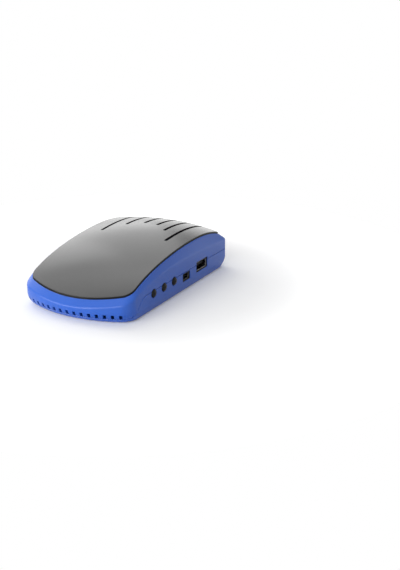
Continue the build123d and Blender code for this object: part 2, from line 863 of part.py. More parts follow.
# ---- sound and picture socket ----
sound_body_face = rear_face_y(sound_x + sound_width / 2) - wall - socket_clearance
sound_nose_face = rear_face_y(sound_x + sound_nose_diameter / 2) - rear_face_recess
sound_sleeve_radius = sound_bore / 2 + sound_sleeve_wall
with BuildPart() as sound_body:
    with BuildSketch(Plane.XZ.offset(-sound_body_face)):
        with Locations((sound_x, board_top + sound_height / 2)):
            Rectangle(sound_width, sound_height)
    extrude(amount=sound_depth)
    with BuildSketch(Plane.XZ.offset(-sound_body_face)):
        with Locations((sound_x, sound_axis)):
            Circle(sound_nose_diameter / 2)
    extrude(amount=-(sound_nose_face - sound_body_face))
    with BuildSketch(Plane.XZ.offset(-sound_nose_face)):
        with Locations((sound_x, sound_axis)):
            Circle(sound_sleeve_radius + thread_clearance)
    extrude(amount=sound_sleeve_length, mode=Mode.SUBTRACT)
    with BuildSketch(Plane.XZ.offset(-sound_nose_face)):
        with Locations((sound_x, sound_axis)):
            Circle(sound_bore / 2)
    extrude(amount=sound_bore_depth, mode=Mode.SUBTRACT)
sound_body.part.label = "sound_socket_body"
export_step(sound_body.part, "parts/sound_socket_body.step")

with BuildPart() as sound_sleeve:
    with BuildSketch(Plane.XZ.offset(-sound_nose_face)):
        with Locations((sound_x, sound_axis)):
            Circle(sound_sleeve_radius)
            Circle(sound_bore / 2, mode=Mode.SUBTRACT)
    extrude(amount=sound_sleeve_length)
sound_sleeve.part.label = "sound_socket_sleeve"
export_step(sound_sleeve.part, "parts/sound_socket_sleeve.step")

# ---- power socket ----
power_body_face = rear_face_y(power_x + power_width / 2) - wall - socket_clearance
power_nose_face = rear_face_y(power_x + power_nose_diameter / 2) - rear_face_recess
with BuildPart() as power_body:
    with BuildSketch(Plane.XZ.offset(-power_body_face)):
        with Locations((power_x, board_top + power_height / 2)):
            Rectangle(power_width, power_height)
    extrude(amount=power_depth)
    with BuildSketch(Plane.XZ.offset(-power_body_face)):
        with Locations((power_x, power_axis)):
            Circle(power_nose_diameter / 2)
    extrude(amount=-(power_nose_face - power_body_face))
    with BuildSketch(Plane.XZ.offset(-power_nose_face)):
        with Locations((power_x, power_axis)):
            Circle(power_bore / 2)
    extrude(amount=power_bore_depth, mode=Mode.SUBTRACT)
power_body.part.label = "power_socket_body"
export_step(power_body.part, "parts/power_socket_body.step")

with BuildPart() as power_pin:
    with BuildSketch(Plane.XZ.offset(-power_nose_face + power_bore_depth)):
        with Locations((power_x, power_axis)):
            Circle(power_pin_diameter / 2)
    extrude(amount=-power_pin_length)
    fillet(power_pin.edges().group_by(Axis.Y)[-1], radius=power_pin_diameter / 4)
power_pin.part.label = "power_socket_pin"
export_step(power_pin.part, "parts/power_socket_pin.step")

# ---- tuner can and aerial socket ----
tuner_rear = rear_y - wall - tuner_rear_gap
thread_start = rear_face_y(aerial_x) + aerial_thread_stand_off
thread_end = rear_y + aerial_overhang
with BuildPart() as tuner_can:
    with BuildSketch(Plane.XY.offset(board_top)):
        with Locations((aerial_x, tuner_rear - tuner_length / 2)):
            Rectangle(tuner_width, tuner_length)
    extrude(amount=tuner_height)
    with BuildSketch(Plane.XY.offset(board_top)):
        with Locations((aerial_x, tuner_rear - tuner_length / 2)):
            Rectangle(tuner_width - 2 * tuner_wall, tuner_length - 2 * tuner_wall)
    extrude(amount=tuner_height - tuner_wall, mode=Mode.SUBTRACT)
    with BuildSketch(Plane.XZ.offset(-tuner_rear)):
        with Locations((aerial_x, aerial_axis)):
            Circle(aerial_bore / 4)
    extrude(amount=2 * tuner_wall, mode=Mode.SUBTRACT)
tuner_can.part.label = "tuner_can"
export_step(tuner_can.part, "parts/tuner_can.step")

with BuildPart() as aerial_socket:
    with BuildSketch(Plane.XZ.offset(-tuner_rear)):
        with Locations((aerial_x, aerial_axis)):
            Circle(aerial_neck_diameter / 2)
    extrude(amount=-(thread_start - tuner_rear))
    with BuildSketch(Plane.XZ.offset(-thread_start)):
        with Locations((aerial_x, aerial_axis)):
            Circle(aerial_thread_diameter / 2)
    extrude(amount=-(thread_end - thread_start))
    with BuildSketch(Plane.XZ.offset(-tuner_rear)):
        with Locations((aerial_x, aerial_axis)):
            Circle(aerial_bore / 2)
    extrude(amount=-(thread_end - tuner_rear), mode=Mode.SUBTRACT)
aerial_socket.part.label = "aerial_socket"
export_step(aerial_socket.part, "parts/aerial_socket.step")

insulator_end = thread_end - aerial_bore / 2
with BuildPart() as aerial_insulator:
    with BuildSketch(Plane.XZ.offset(-tuner_rear)):
        with Locations((aerial_x, aerial_axis)):
            Circle(aerial_bore / 2 - thread_clearance)
            Circle(aerial_pin_hole / 2, mode=Mode.SUBTRACT)
    extrude(amount=-(insulator_end - tuner_rear))
aerial_insulator.part.label = "aerial_insulator"
export_step(aerial_insulator.part, "parts/aerial_insulator.step")

with BuildPart() as aerial_contact:
    with BuildSketch(Plane.XZ.offset(-tuner_rear + tuner_length / 4)):
        with Locations((aerial_x, aerial_axis)):
            Circle(aerial_pin_hole / 2 - thread_clearance)
    extrude(amount=-(insulator_end - tuner_rear + tuner_length / 4 - aerial_contact_diameter))
    with BuildSketch(Plane.XZ.offset(-insulator_end)):
        with Locations((aerial_x, aerial_axis)):
            Circle(aerial_contact_diameter / 2)
    extrude(amount=aerial_bore, mode=Mode.SUBTRACT)
aerial_contact.part.label = "aerial_contact"
export_step(aerial_contact.part, "parts/aerial_contact.step")

with BuildPart() as tuner_chip:
    with BuildSketch(Plane.XY.offset(board_top)):
        with Locations((aerial_x, tuner_rear - tuner_length / 2)):
            Rectangle(tuner_chip_size, tuner_chip_size)
    extrude(amount=tuner_chip_height)
tuner_chip.part.label = "tuner_chip"
export_step(tuner_chip.part, "parts/tuner_chip.step")

# ---- processor, thermal pad and heat sink ----
processor_y = front_y + processor_from_front
with BuildPart() as processor:
    with BuildSketch(Plane.XY.offset(board_top)):
        with Locations((processor_x, processor_y)):
            Rectangle(processor_size, processor_size)
    extrude(amount=processor_height)
processor.part.label = "main_processor"
export_step(processor.part, "parts/main_processor.step")

pad_top = board_top + processor_height + pad_thickness
with BuildPart() as thermal_pad:
    with BuildSketch(Plane.XY.offset(board_top + processor_height)):
        with Locations((processor_x, processor_y)):
            Rectangle(pad_size, pad_size)
    extrude(amount=pad_thickness)
thermal_pad.part.label = "thermal_pad"
export_step(thermal_pad.part, "parts/thermal_pad.step")

with BuildPart() as heat_sink:
    with BuildSketch(Plane.XY.offset(pad_top)):
        with Locations((processor_x, processor_y)):
            Rectangle(sink_size, sink_size)
    extrude(amount=sink_base)
    fin_pitch = (sink_size - sink_fin_thickness) / (sink_fins - 1)
    with BuildSketch(Plane.XY.offset(pad_top + sink_base)):
        with Locations((processor_x, processor_y)):
            with GridLocations(fin_pitch, 1, sink_fins, 1):
                Rectangle(sink_fin_thickness, sink_size)
    extrude(amount=sink_height - sink_base)
heat_sink.part.label = "heat_sink"
export_step(heat_sink.part, "parts/heat_sink.step")

# ---- flat packages on the board: width, length, height and place of each ----
packages = {
    "memory_chip": (memory_width, memory_length, memory_height, memory_x, processor_y),
    "flash_chip": (flash_width, flash_length, flash_height, flash_x, front_y + flash_from_front),
    "crystal": (crystal_width, crystal_length, crystal_height, crystal_x, front_y + crystal_from_front),
    "voltage_regulator": (
        regulator_width,
        regulator_length,
        regulator_height,
        capacitor_x,
        rear_y - regulator_from_rear,
    ),
}
for name, (width, length, height, x, y) in packages.items():
    with BuildPart() as package:
        with BuildSketch(Plane.XY.offset(board_top)):
            with Locations((x, y)):
                Rectangle(width, length)
        extrude(amount=height)
        chamfer(package.edges().group_by(Axis.Z)[-1], length=height / 6)
    package.part.label = name
    export_step(package.part, f"parts/{name}.step")

for number in range(3):
    with BuildPart() as capacitor:
        capacitor_y = rear_y - capacitor_from_rear + capacitor_pitch * number
        with BuildSketch(Plane.XY.offset(board_top)):
            with Locations((capacitor_x, capacitor_y)):
                Circle(capacitor_diameter / 2)
        extrude(amount=capacitor_height)
        fillet(capacitor.edges().group_by(Axis.Z)[-1], radius=capacitor_diameter / 16)
    capacitor.part.label = f"capacitor_{number + 1}"
    export_step(capacitor.part, f"parts/capacitor_{number + 1}.step")

for number in range(2):
    with BuildPart() as inductor:
        inductor_y = rear_y - inductor_from_rear + inductor_pitch * number
        with BuildSketch(Plane.XY.offset(board_top)):
            with Locations((inductor_x, inductor_y)):
                RectangleRounded(inductor_size, inductor_size, inductor_size / 5)
        extrude(amount=inductor_height)
    inductor.part.label = f"inductor_{number + 1}"
    export_step(inductor.part, f"parts/inductor_{number + 1}.step")

# ---- infrared receiver and status lamp behind the front notches ----
eye_y = board_front_y + front_part_setback + eye_depth / 2
with BuildPart() as infrared_receiver:
    with BuildSketch(Plane.XY.offset(board_top)):
        with Locations((eye_x, eye_y)):
            Rectangle(eye_width, eye_depth)
    extrude(amount=eye_height)
    with BuildSketch(Plane.XY.offset(board_top)):
        with Locations((eye_x, eye_y - eye_depth / 2)):
            Circle(eye_lens_radius)
    extrude(amount=eye_height * 0.8)
infrared_receiver.part.label = "infrared_receiver"
export_step(infrared_receiver.part, "parts/infrared_receiver.step")

with BuildPart() as status_lamp:
    with BuildSketch(Plane.XY.offset(board_top)):
        with Locations((lamp_x, eye_y)):
            Circle(lamp_diameter / 2)
    extrude(amount=lamp_height)
    fillet(status_lamp.edges().group_by(Axis.Z)[-1], radius=lamp_diameter / 3)
status_lamp.part.label = "status_lamp"
export_step(status_lamp.part, "parts/status_lamp.step")
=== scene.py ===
import json
import logging
from dataclasses import dataclass
from enum import Enum

import bpy
import numpy as np
from mathutils import Matrix


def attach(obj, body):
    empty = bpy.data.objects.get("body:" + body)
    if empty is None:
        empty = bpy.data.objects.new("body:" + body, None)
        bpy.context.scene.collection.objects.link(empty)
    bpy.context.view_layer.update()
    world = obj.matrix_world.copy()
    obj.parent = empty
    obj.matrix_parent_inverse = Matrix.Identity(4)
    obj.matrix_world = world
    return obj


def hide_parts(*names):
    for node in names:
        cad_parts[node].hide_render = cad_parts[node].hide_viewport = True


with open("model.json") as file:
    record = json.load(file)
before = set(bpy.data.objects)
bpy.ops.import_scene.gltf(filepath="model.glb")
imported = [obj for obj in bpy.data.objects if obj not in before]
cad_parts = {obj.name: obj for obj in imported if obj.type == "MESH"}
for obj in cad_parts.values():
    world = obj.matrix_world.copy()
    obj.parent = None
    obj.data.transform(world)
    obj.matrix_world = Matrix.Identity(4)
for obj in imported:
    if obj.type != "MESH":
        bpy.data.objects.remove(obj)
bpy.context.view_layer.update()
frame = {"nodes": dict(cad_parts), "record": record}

# Satellite television receiver: a domed gloss cover on a bowed blue casing, with push buttons
# and ports on its right side and sockets at its rear. Builders work in millimetres in the frame
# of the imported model, and every finished mesh is turned into metres.

LOG = logging.getLogger("receiver")
MILLIMETRE = 0.001
SMOOTH_ANGLE = 32.0
DUST_COLOUR = (0.55, 0.53, 0.5, 1)
DUST_ROUGHNESS = 0.5


class Axis(Enum):
    """Which way a profile is carried: the order that takes (across, up, along) to x, y and z."""

    X = (2, 0, 1)
    Y = (1, 2, 0)
    Z = (0, 1, 2)


class Cut(Enum):
    """What a second solid does to the first."""

    REMOVE = "DIFFERENCE"
    ADD = "UNION"


class Texture(Enum):
    """Which relief a finish carries."""

    GRAIN = "grain"
    STREAKS = "streaks"


# ------------------------------ surfaces on grids


@dataclass
class Surface:
    """A closed sheet of points and faces, in millimetres."""

    points: np.ndarray
    faces: list

    def __add__(self, other: "Surface") -> "Surface":
        """Both surfaces as one.

        Args:
            other: The surface to add.

        Returns:
            One surface with the points and faces of both.
        """
        shift = len(self.points)
        moved = [[corner + shift for corner in face] for face in other.faces]
        return Surface(np.vstack([self.points, other.points]), self.faces + moved)


def joined(surfaces: list[Surface]) -> Surface:
    """All the surfaces of a list as one.

    Args:
        surfaces: One surface or more.

    Returns:
        One surface that holds them all.
    """
    total = surfaces[0]
    for surface in surfaces[1:]:
        total = total + surface
    return total


def loft(loops: np.ndarray, ring: bool = False) -> Surface:
    """Skin over a stack of closed loops.

    Point (row, column) joins its neighbours (row, column + 1), (row + 1, column + 1) and
    (row + 1, column); columns close on themselves. Each end is a fan about its loop's mean
    point, or the last loop joins the first.

    Args:
        loops: Points as rows, columns and coordinates, counter-clockwise seen from the last row.
        ring: Whether the last loop joins the first.

    Returns:
        The closed surface, its faces outwards.
    """
    rows, columns = loops.shape[:2]
    row = np.arange(rows if ring else rows - 1)[:, None]
    column = np.arange(columns)[None, :]
    after, beyond = (column + 1) % columns, (row + 1) % rows
    quads = np.stack(
        [row * columns + column, row * columns + after, beyond * columns + after, beyond * columns + column],
        axis=-1,
    ).reshape(-1, 4)
    points = loops.reshape(-1, 3)
    faces = quads.tolist()
    if not ring:
        start, end = rows * columns, rows * columns + 1
        points = np.vstack([points, loops[0].mean(axis=0), loops[-1].mean(axis=0)])
        here, then = column[0], after[0]
        last = (rows - 1) * columns
        faces += np.stack([np.full(columns, start), then, here], axis=-1).tolist()
        faces += np.stack([np.full(columns, end), here + last, then + last], axis=-1).tolist()
    return Surface(points, faces)


def place(across: np.ndarray, up: np.ndarray, along: np.ndarray, axis: Axis) -> np.ndarray:
    """Points from their place across, up and along an axis, in x, y and z."""
    local = np.stack(np.broadcast_arrays(across, up, along), axis=-1)
    return local[..., list(axis.value)]


def circle(count: int) -> np.ndarray:
    """Unit circle: (cosine, sine) of even angles, counter-clockwise."""
    turn = 2 * np.pi * np.arange(count) / count
    return np.stack([np.cos(turn), np.sin(turn)], axis=-1)


def lathe(
    profile: list[tuple[float, float]], centre: tuple[float, float], axis: Axis, count: int = 48, ring: bool = False
) -> Surface:
    """Body of revolution: radius times the unit circle, at each height of a profile.

    Args:
        profile: Radius and place along the axis of each loop.
        centre: Place of the axis across and up.
        axis: The way that the profile is carried.
        count: Points round each loop.
        ring: Whether the profile closes on itself, as a tube's does.

    Returns:
        The closed surface.
    """
    radius, along = np.array(profile).T[:, :, None]
    turn = circle(count)[None]
    return loft(place(centre[0] + radius * turn[..., 0], centre[1] + radius * turn[..., 1], along, axis), ring)


def inset(corners: np.ndarray, amount: float) -> np.ndarray:
    """Polygon with each edge moved inwards: a corner moves by the sum of its two edge normals
    over one plus their product, times the amount.

    Args:
        corners: The polygon, counter-clockwise.
        amount: How far each edge moves.

    Returns:
        The moved corners.
    """
    edge = np.roll(corners, -1, axis=0) - corners
    normal = np.stack([-edge[:, 1], edge[:, 0]], axis=-1) / np.linalg.norm(edge, axis=1, keepdims=True)
    before = np.roll(normal, 1, axis=0)
    share = 1 + (normal * before).sum(axis=1, keepdims=True)
    return corners + amount * (normal + before) / share


def rounded(corners: np.ndarray, reach: float, steps: int = 5) -> np.ndarray:
    """Polygon with soft corners: a quadratic curve from a reach before each corner to one after it.

    Args:
        corners: The polygon.
        reach: How far a curve reaches along a corner's edges.
        steps: Points on each curve.

    Returns:
        The softened polygon.
    """
    before = np.roll(corners, 1, axis=0) - corners
    after = np.roll(corners, -1, axis=0) - corners
    start = corners + reach * before / np.linalg.norm(before, axis=1, keepdims=True)
    end = corners + reach * after / np.linalg.norm(after, axis=1, keepdims=True)
    t = np.linspace(0, 1, steps)[None, :, None]
    curve = (1 - t) ** 2 * start[:, None] + 2 * t * (1 - t) * corners[:, None] + t**2 * end[:, None]
    return curve.reshape(-1, 2)


def rectangle(across: float, up: float) -> np.ndarray:
    """Corners of a rectangle about the middle, counter-clockwise."""
    return np.array([(-1, -1), (1, -1), (1, 1), (-1, 1)]) * (across / 2, up / 2)


def prism(
    corners: np.ndarray,
    levels: list[tuple[float, float]],
    centre: tuple[float, float],
    axis: Axis,
    reach: float = 0.1,
    ring: bool = False,
) -> Surface:
    """A softened polygon carried along an axis, drawn in by an amount at each level.

    Args:
        corners: The polygon, counter-clockwise.
        levels: Inward amount and place along the axis of each loop.
        centre: Place of the polygon's origin across and up.
        axis: The way that the polygon is carried.
        reach: How far each corner's softening reaches along its edges.
        ring: Whether the last loop joins the first, as in an open sheet-metal shell.

    Returns:
        The closed surface.
    """
    loops = []
    for amount, along in levels:
        outline = rounded(inset(corners, amount), max(reach - amount / 2, 0.02))
        loops.append(place(centre[0] + outline[:, 0], centre[1] + outline[:, 1], along, axis))
    return loft(np.array(loops), ring)


def box_between(low: np.ndarray, high: np.ndarray, edge: float) -> Surface:
    """Block from one corner to the other, its edges drawn in by a small bevel.

    Args:
        low: Lowest corner.
        high: Highest corner.
        edge: Width of the bevel.

    Returns:
        The block.
    """
    size = high - low
    middle = (low + high) / 2
    levels = [(edge, low[2]), (0, low[2] + edge), (0, high[2] - edge), (edge, high[2])]
    return prism(rectangle(size[0], size[1]), levels, (middle[0], middle[1]), Axis.Z, reach=edge)


# ------------------------------ objects and cuts


def new_object(name: str, surface: Surface) -> bpy.types.Object:
    """Object in the scene that holds a surface, still in millimetres.

    Args:
        name: Name of the object and its mesh.
        surface: What it holds.

    Returns:
        The object.
    """
    mesh = bpy.data.meshes.new(name)
    mesh.from_pydata(surface.points.tolist(), [], surface.faces)
    mesh.update()
    piece = bpy.data.objects.new(name, mesh)
    bpy.context.scene.collection.objects.link(piece)
    return piece


def combine(piece: bpy.types.Object, tool: Surface, cut: Cut) -> None:
    """Adds a solid to a piece or takes it away, and leaves the result as the piece's own mesh.

    Args:
        piece: The piece that changes.
        tool: The second solid.
        cut: What the second solid does.
    """
    other = new_object("tool", tool)
    step = piece.modifiers.new("combine", "BOOLEAN")
    step.operation, step.solver, step.object = cut.value, "MANIFOLD", other
    depsgraph = bpy.context.evaluated_depsgraph_get()
    result = bpy.data.meshes.new_from_object(piece.evaluated_get(depsgraph))
    piece.modifiers.clear()
    old, piece.data = piece.data, result
    result.name = piece.name
    spent = other.data
    bpy.data.objects.remove(other)
    for mesh in (old, spent):
        bpy.data.meshes.remove(mesh)


def finish_piece(
    piece: bpy.types.Object,
    material: bpy.types.Material,
    body: str,
    nodes: tuple[str, ...],
    angle: float = SMOOTH_ANGLE,
) -> bpy.types.Object:
    """Turns a piece into metres, shades it, dresses it, ties it to its body and hides the CAD nodes that it stands for.

    Args:
        piece: The piece, in millimetres.
        material: Its finish.
        body: The body that it rides on.
        nodes: The CAD nodes that it stands for.
        angle: Edges sharper than this, in degrees, stay hard.

    Returns:
        The same piece.
    """
    mesh = piece.data
    mesh.transform(Matrix.Scale(MILLIMETRE, 4))
    mesh.shade_smooth()
    mesh.set_sharp_from_angle(angle=np.radians(angle))
    mesh.materials.clear()
    mesh.materials.append(material)
    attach(piece, body)
    if nodes:
        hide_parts(*nodes)
    LOG.info("%s: %d faces", piece.name, len(mesh.polygons))
    return piece


# ------------------------------ shared shader effects


def effect_group(name: str, inputs: dict[str, float], outputs: dict[str, str]) -> bpy.types.NodeTree:
    """Empty shader group with number inputs and named outputs.

    Args:
        name: Name of the group.
        inputs: Default of each number input.
        outputs: Socket type of each output.

    Returns:
        The group, still empty.
    """
    group = bpy.data.node_groups.new(name, "ShaderNodeTree")
    for label, value in inputs.items():
        socket = group.interface.new_socket(name=label, in_out="INPUT", socket_type="NodeSocketFloat")
        socket.default_value = value
    for label, kind in outputs.items():
        group.interface.new_socket(name=label, in_out="OUTPUT", socket_type=kind)
    return group


@dataclass(frozen=True)
class NodeTools:
    """Short ways to add nodes to one tree."""

    tree: bpy.types.NodeTree

    def add(self, kind: str, **settings: object) -> bpy.types.Node:
        """New node with its settings.

        Args:
            kind: The node's type.
            **settings: What to set on it.

        Returns:
            The node.
        """
        node = self.tree.nodes.new(kind)
        for label, value in settings.items():
            setattr(node, label, value)
        return node

    def link(self, source: bpy.types.NodeSocket, target: bpy.types.NodeSocket) -> None:
        """Wire from one socket to another."""
        self.tree.links.new(source, target)

    def feed(self, value: object, target: bpy.types.NodeSocket) -> None:
        """Wire or constant into a socket.

        Args:
            value: A socket or a constant.
            target: The socket that takes it.
        """
        if isinstance(value, bpy.types.NodeSocket):
            self.link(value, target)
        else:
            target.default_value = value

    def math(self, operation: str, *values: object) -> bpy.types.NodeSocket:
        """Result of a calculation on numbers or sockets.

        Args:
            operation: The node's operation.
            *values: Sockets or constants, in order.

        Returns:
            The result.
        """
        node = self.add("ShaderNodeMath", operation=operation)
        for value, target in zip(values, node.inputs):
            self.feed(value, target)
        return node.outputs[0]

    def noise(self, vector: object, scale: object, detail: float, roughness: float = 0.5) -> bpy.types.NodeSocket:
        """Even noise between 0 and 1.

        Args:
            vector: Where to read the noise.
            scale: Socket or constant.
            detail: Layers of the noise.
            roughness: Share of each finer layer.

        Returns:
            The noise.
        """
        node = self.add("ShaderNodeTexNoise")
        self.link(vector, node.inputs["Vector"])
        self.feed(scale, node.inputs["Scale"])
        node.inputs["Detail"].default_value = detail
        node.inputs["Roughness"].default_value = roughness
        return node.outputs[0]

    def spread(self, value: object, low: float, high: float, to_low: float, to_high: float) -> bpy.types.NodeSocket:
        """Number moved from one range to another and held inside it.

        Args:
            value: The number to move.
            low: Start of its range.
            high: End of its range.
            to_low: What the start becomes.
            to_high: What the end becomes.

        Returns:
            The moved number.
        """
        node = self.add("ShaderNodeMapRange", interpolation_type="SMOOTHSTEP")
        self.feed(value, node.inputs[0])
        for target, number in zip(list(node.inputs)[1:5], (low, high, to_low, to_high)):
            target.default_value = number
        return node.outputs[0]

    def mix(self, share: object, first: object, second: object) -> bpy.types.NodeSocket:
        """Colour between two others.

        Args:
            share: How much of the second.
            first: The first colour.
            second: The second colour.

        Returns:
            The mixed colour.
        """
        node = self.add("ShaderNodeMix", data_type="RGBA")
        self.feed(share, node.inputs[0])
        self.feed(first, node.inputs[6])
        self.feed(second, node.inputs[7])
        return node.outputs[2]

    def object_place(self) -> bpy.types.NodeSocket:
        """Place on the object, in metres."""
        return self.add("ShaderNodeTexCoord").outputs["Object"]


class Effects:
    """The shader groups that several finishes share."""

    def __init__(self) -> None:
        """Builds each group once."""
        self.grain = self._grain()
        self.streaks = self._streaks()
        self.dust = self._dust()
        self.tone = self._tone()

    def _grain(self) -> bpy.types.NodeTree:
        """Spark-eroded mould grain: fine pits from cells and noise, over a faint long wave.

        Returns:
            The group, with its height and its mask.
        """
        group = effect_group(
            "Moulded grain", {"Scale": 3200.0, "Wave": 0.3}, {"Height": "NodeSocketFloat", "Mask": "NodeSocketFloat"}
        )
        tools = NodeTools(group)
        given, result = tools.add("NodeGroupInput"), tools.add("NodeGroupOutput")
        where = tools.object_place()
        cells = tools.add("ShaderNodeTexVoronoi", feature="SMOOTH_F1")
        tools.link(where, cells.inputs["Vector"])
        tools.link(given.outputs["Scale"], cells.inputs["Scale"])
        fine = tools.noise(where, tools.math("MULTIPLY", given.outputs["Scale"], 0.6), 3.0)
        wave = tools.noise(where, 70.0, 1.0)
        coarse = tools.math("MULTIPLY", cells.outputs["Distance"], 0.5)
        pits = tools.math("ADD", coarse, tools.math("MULTIPLY", fine, 0.5))
        height = tools.math("ADD", pits, tools.math("MULTIPLY", wave, given.outputs["Wave"]))
        tools.link(height, result.inputs["Height"])
        tools.link(tools.spread(fine, 0.35, 0.65, 0.0, 1.0), result.inputs["Mask"])
        return group

    def _streaks(self) -> bpy.types.NodeTree:
        """Rolled or drawn metal: noise stretched thirty times along one way, with spangle over it.

        Returns:
            The group, with its height and its mask.
        """
        group = effect_group(
            "Drawn streaks", {"Scale": 900.0}, {"Height": "NodeSocketFloat", "Mask": "NodeSocketFloat"}
        )
        tools = NodeTools(group)
        given, result = tools.add("NodeGroupInput"), tools.add("NodeGroupOutput")
        stretch = tools.add("ShaderNodeMapping")
        tools.link(tools.object_place(), stretch.inputs["Vector"])
        stretch.inputs["Scale"].default_value = (0.035, 1.0, 1.0)
        lines = tools.noise(stretch.outputs[0], given.outputs["Scale"], 4.0, 0.6)
        spangle = tools.noise(tools.object_place(), tools.math("MULTIPLY", given.outputs["Scale"], 0.4), 2.0)
        height = tools.math("ADD", tools.math("MULTIPLY", lines, 0.8), tools.math("MULTIPLY", spangle, 0.2))
        tools.link(height, result.inputs["Height"])
        tools.link(tools.spread(lines, 0.3, 0.7, 0.0, 1.0), result.inputs["Mask"])
        return group

    def _dust(self) -> bpy.types.NodeTree:
        """Settled specks: sparse spots of noise, only where the surface faces up.

        Returns:
            The group, with its mask.
        """
        group = effect_group("Settled dust", {"Amount": 0.2}, {"Mask": "NodeSocketFloat"})
        tools = NodeTools(group)
        given, result = tools.add("NodeGroupInput"), tools.add("NodeGroupOutput")
        facing = tools.add("ShaderNodeSeparateXYZ")
        tools.link(tools.add("ShaderNodeNewGeometry").outputs["Normal"], facing.inputs[0])
        up = tools.spread(facing.outputs["Z"], 0.2, 0.95, 0.0, 1.0)
        specks = tools.spread(tools.noise(tools.object_place(), 1500.0, 2.0), 0.68, 0.78, 0.0, 1.0)
        film = tools.spread(tools.noise(tools.object_place(), 35.0, 3.0), 0.4, 0.75, 0.0, 0.25)
        settled = tools.math("MULTIPLY", tools.math("MAXIMUM", specks, film), up)
        tools.link(tools.math("MULTIPLY", settled, given.outputs["Amount"]), result.inputs["Mask"])
        return group

    def _tone(self) -> bpy.types.NodeTree:
        """Uneven pigment: slow noise that leans the colour towards its shade.

        Returns:
            The group, with its mask.
        """
        group = effect_group("Uneven tone", {"Scale": 40.0}, {"Mask": "NodeSocketFloat"})
        tools = NodeTools(group)
        given, result = tools.add("NodeGroupInput"), tools.add("NodeGroupOutput")
        slow = tools.noise(tools.object_place(), given.outputs["Scale"], 3.0, 0.55)
        tools.link(tools.spread(slow, 0.3, 0.7, 0.0, 1.0), result.inputs["Mask"])
        return group


@dataclass(frozen=True)
class Finish:
    """One material's colours and relief.

    The base colour leans towards its shade by the uneven tone and takes a little settled dust,
    the roughness moves between two values with the relief's mask, and the relief is a bump.
    """

    name: str
    base: tuple[float, float, float]
    shade: tuple[float, float, float]
    roughness: tuple[float, float]
    metallic: float = 0.0
    coat: float = 0.0
    coat_roughness: float = 0.05
    texture: Texture = Texture.GRAIN
    scale: float = 3200.0
    wave: float = 0.3
    relief: float = 0.12
    depth: float = 0.00002
    dust: float = 0.05
    tone_scale: float = 40.0
    transmission: float = 0.0
    reflectance: float = 0.5

    def build(self, effects: Effects) -> bpy.types.Material:
        """Makes the material.

        Args:
            effects: The shared shader groups.

        Returns:
            The material, with its Principled shader in it.
        """
        material = bpy.data.materials.new(self.name)
        material.use_nodes = True
        tools = NodeTools(material.node_tree)
        shader = material.node_tree.nodes["Principled BSDF"]
        tone = tools.add("ShaderNodeGroup", node_tree=effects.tone)
        tone.inputs["Scale"].default_value = self.tone_scale
        dust = tools.add("ShaderNodeGroup", node_tree=effects.dust)
        dust.inputs["Amount"].default_value = self.dust
        pigment = tools.mix(tone.outputs["Mask"], (*self.base, 1), (*self.shade, 1))
        pigment = self.pattern(tools, pigment)
        tools.link(tools.mix(dust.outputs["Mask"], pigment, DUST_COLOUR), shader.inputs["Base Color"])
        group = effects.grain if self.texture is Texture.GRAIN else effects.streaks
        relief = tools.add("ShaderNodeGroup", node_tree=group)
        relief.inputs["Scale"].default_value = self.scale
        if self.texture is Texture.GRAIN:
            relief.inputs["Wave"].default_value = self.wave
        rough = tools.spread(relief.outputs["Mask"], 0.0, 1.0, *self.roughness)
        dusted = tools.math("MULTIPLY", dust.outputs["Mask"], DUST_ROUGHNESS)
        tools.link(tools.math("ADD", rough, dusted), shader.inputs["Roughness"])
        bump = tools.add("ShaderNodeBump")
        bump.inputs["Strength"].default_value = self.relief
        bump.inputs["Distance"].default_value = self.depth
        tools.link(relief.outputs["Height"], bump.inputs["Height"])
        tools.link(bump.outputs["Normal"], shader.inputs["Normal"])
        shader.inputs["Metallic"].default_value = self.metallic
        shader.inputs["Coat Weight"].default_value = self.coat
        shader.inputs["Coat Roughness"].default_value = self.coat_roughness
        shader.inputs["Transmission Weight"].default_value = self.transmission
        shader.inputs["Specular IOR Level"].default_value = self.reflectance
        return material

    def pattern(self, tools: NodeTools, pigment: bpy.types.NodeSocket) -> bpy.types.NodeSocket:
        """Colour pattern over the plain pigment; a plain finish has none."""
        return pigment


@dataclass(frozen=True)
class Laminate(Finish):
    """Circuit board: copper tracks that show pale through the resist, and bare tinned dots."""

    track_colour: tuple[float, float, float] = (0.05, 0.24, 0.07)
    tin_colour: tuple[float, float, float] = (0.55, 0.55, 0.52)
    track_scale: float = 320.0
    dot_scale: float = 700.0

    def pattern(self, tools: NodeTools, pigment: bpy.types.NodeSocket) -> bpy.types.NodeSocket:
        """Tracks are the thin borders of square cells, and dots the middles of smaller ones.

        Args:
            tools: The material's tree.
            pigment: The plain colour.

        Returns:
            The colour with tracks and dots.
        """
        where = tools.object_place()
        cells = tools.add("ShaderNodeTexVoronoi", feature="F1", distance="CHEBYCHEV")
        tools.link(where, cells.inputs["Vector"])
        cells.inputs["Scale"].default_value = self.track_scale
        edge = tools.spread(cells.outputs["Distance"], 0.42, 0.46, 0.0, 1.0)
        tracked = tools.mix(edge, pigment, (*self.track_colour, 1))
        dots = tools.add("ShaderNodeTexVoronoi", feature="F1")
        tools.link(where, dots.inputs["Vector"])
        dots.inputs["Scale"].default_value = self.dot_scale
        tinned = tools.spread(dots.outputs["Distance"], 0.12, 0.16, 1.0, 0.0)
        return tools.mix(tinned, tracked, (*self.tin_colour, 1))


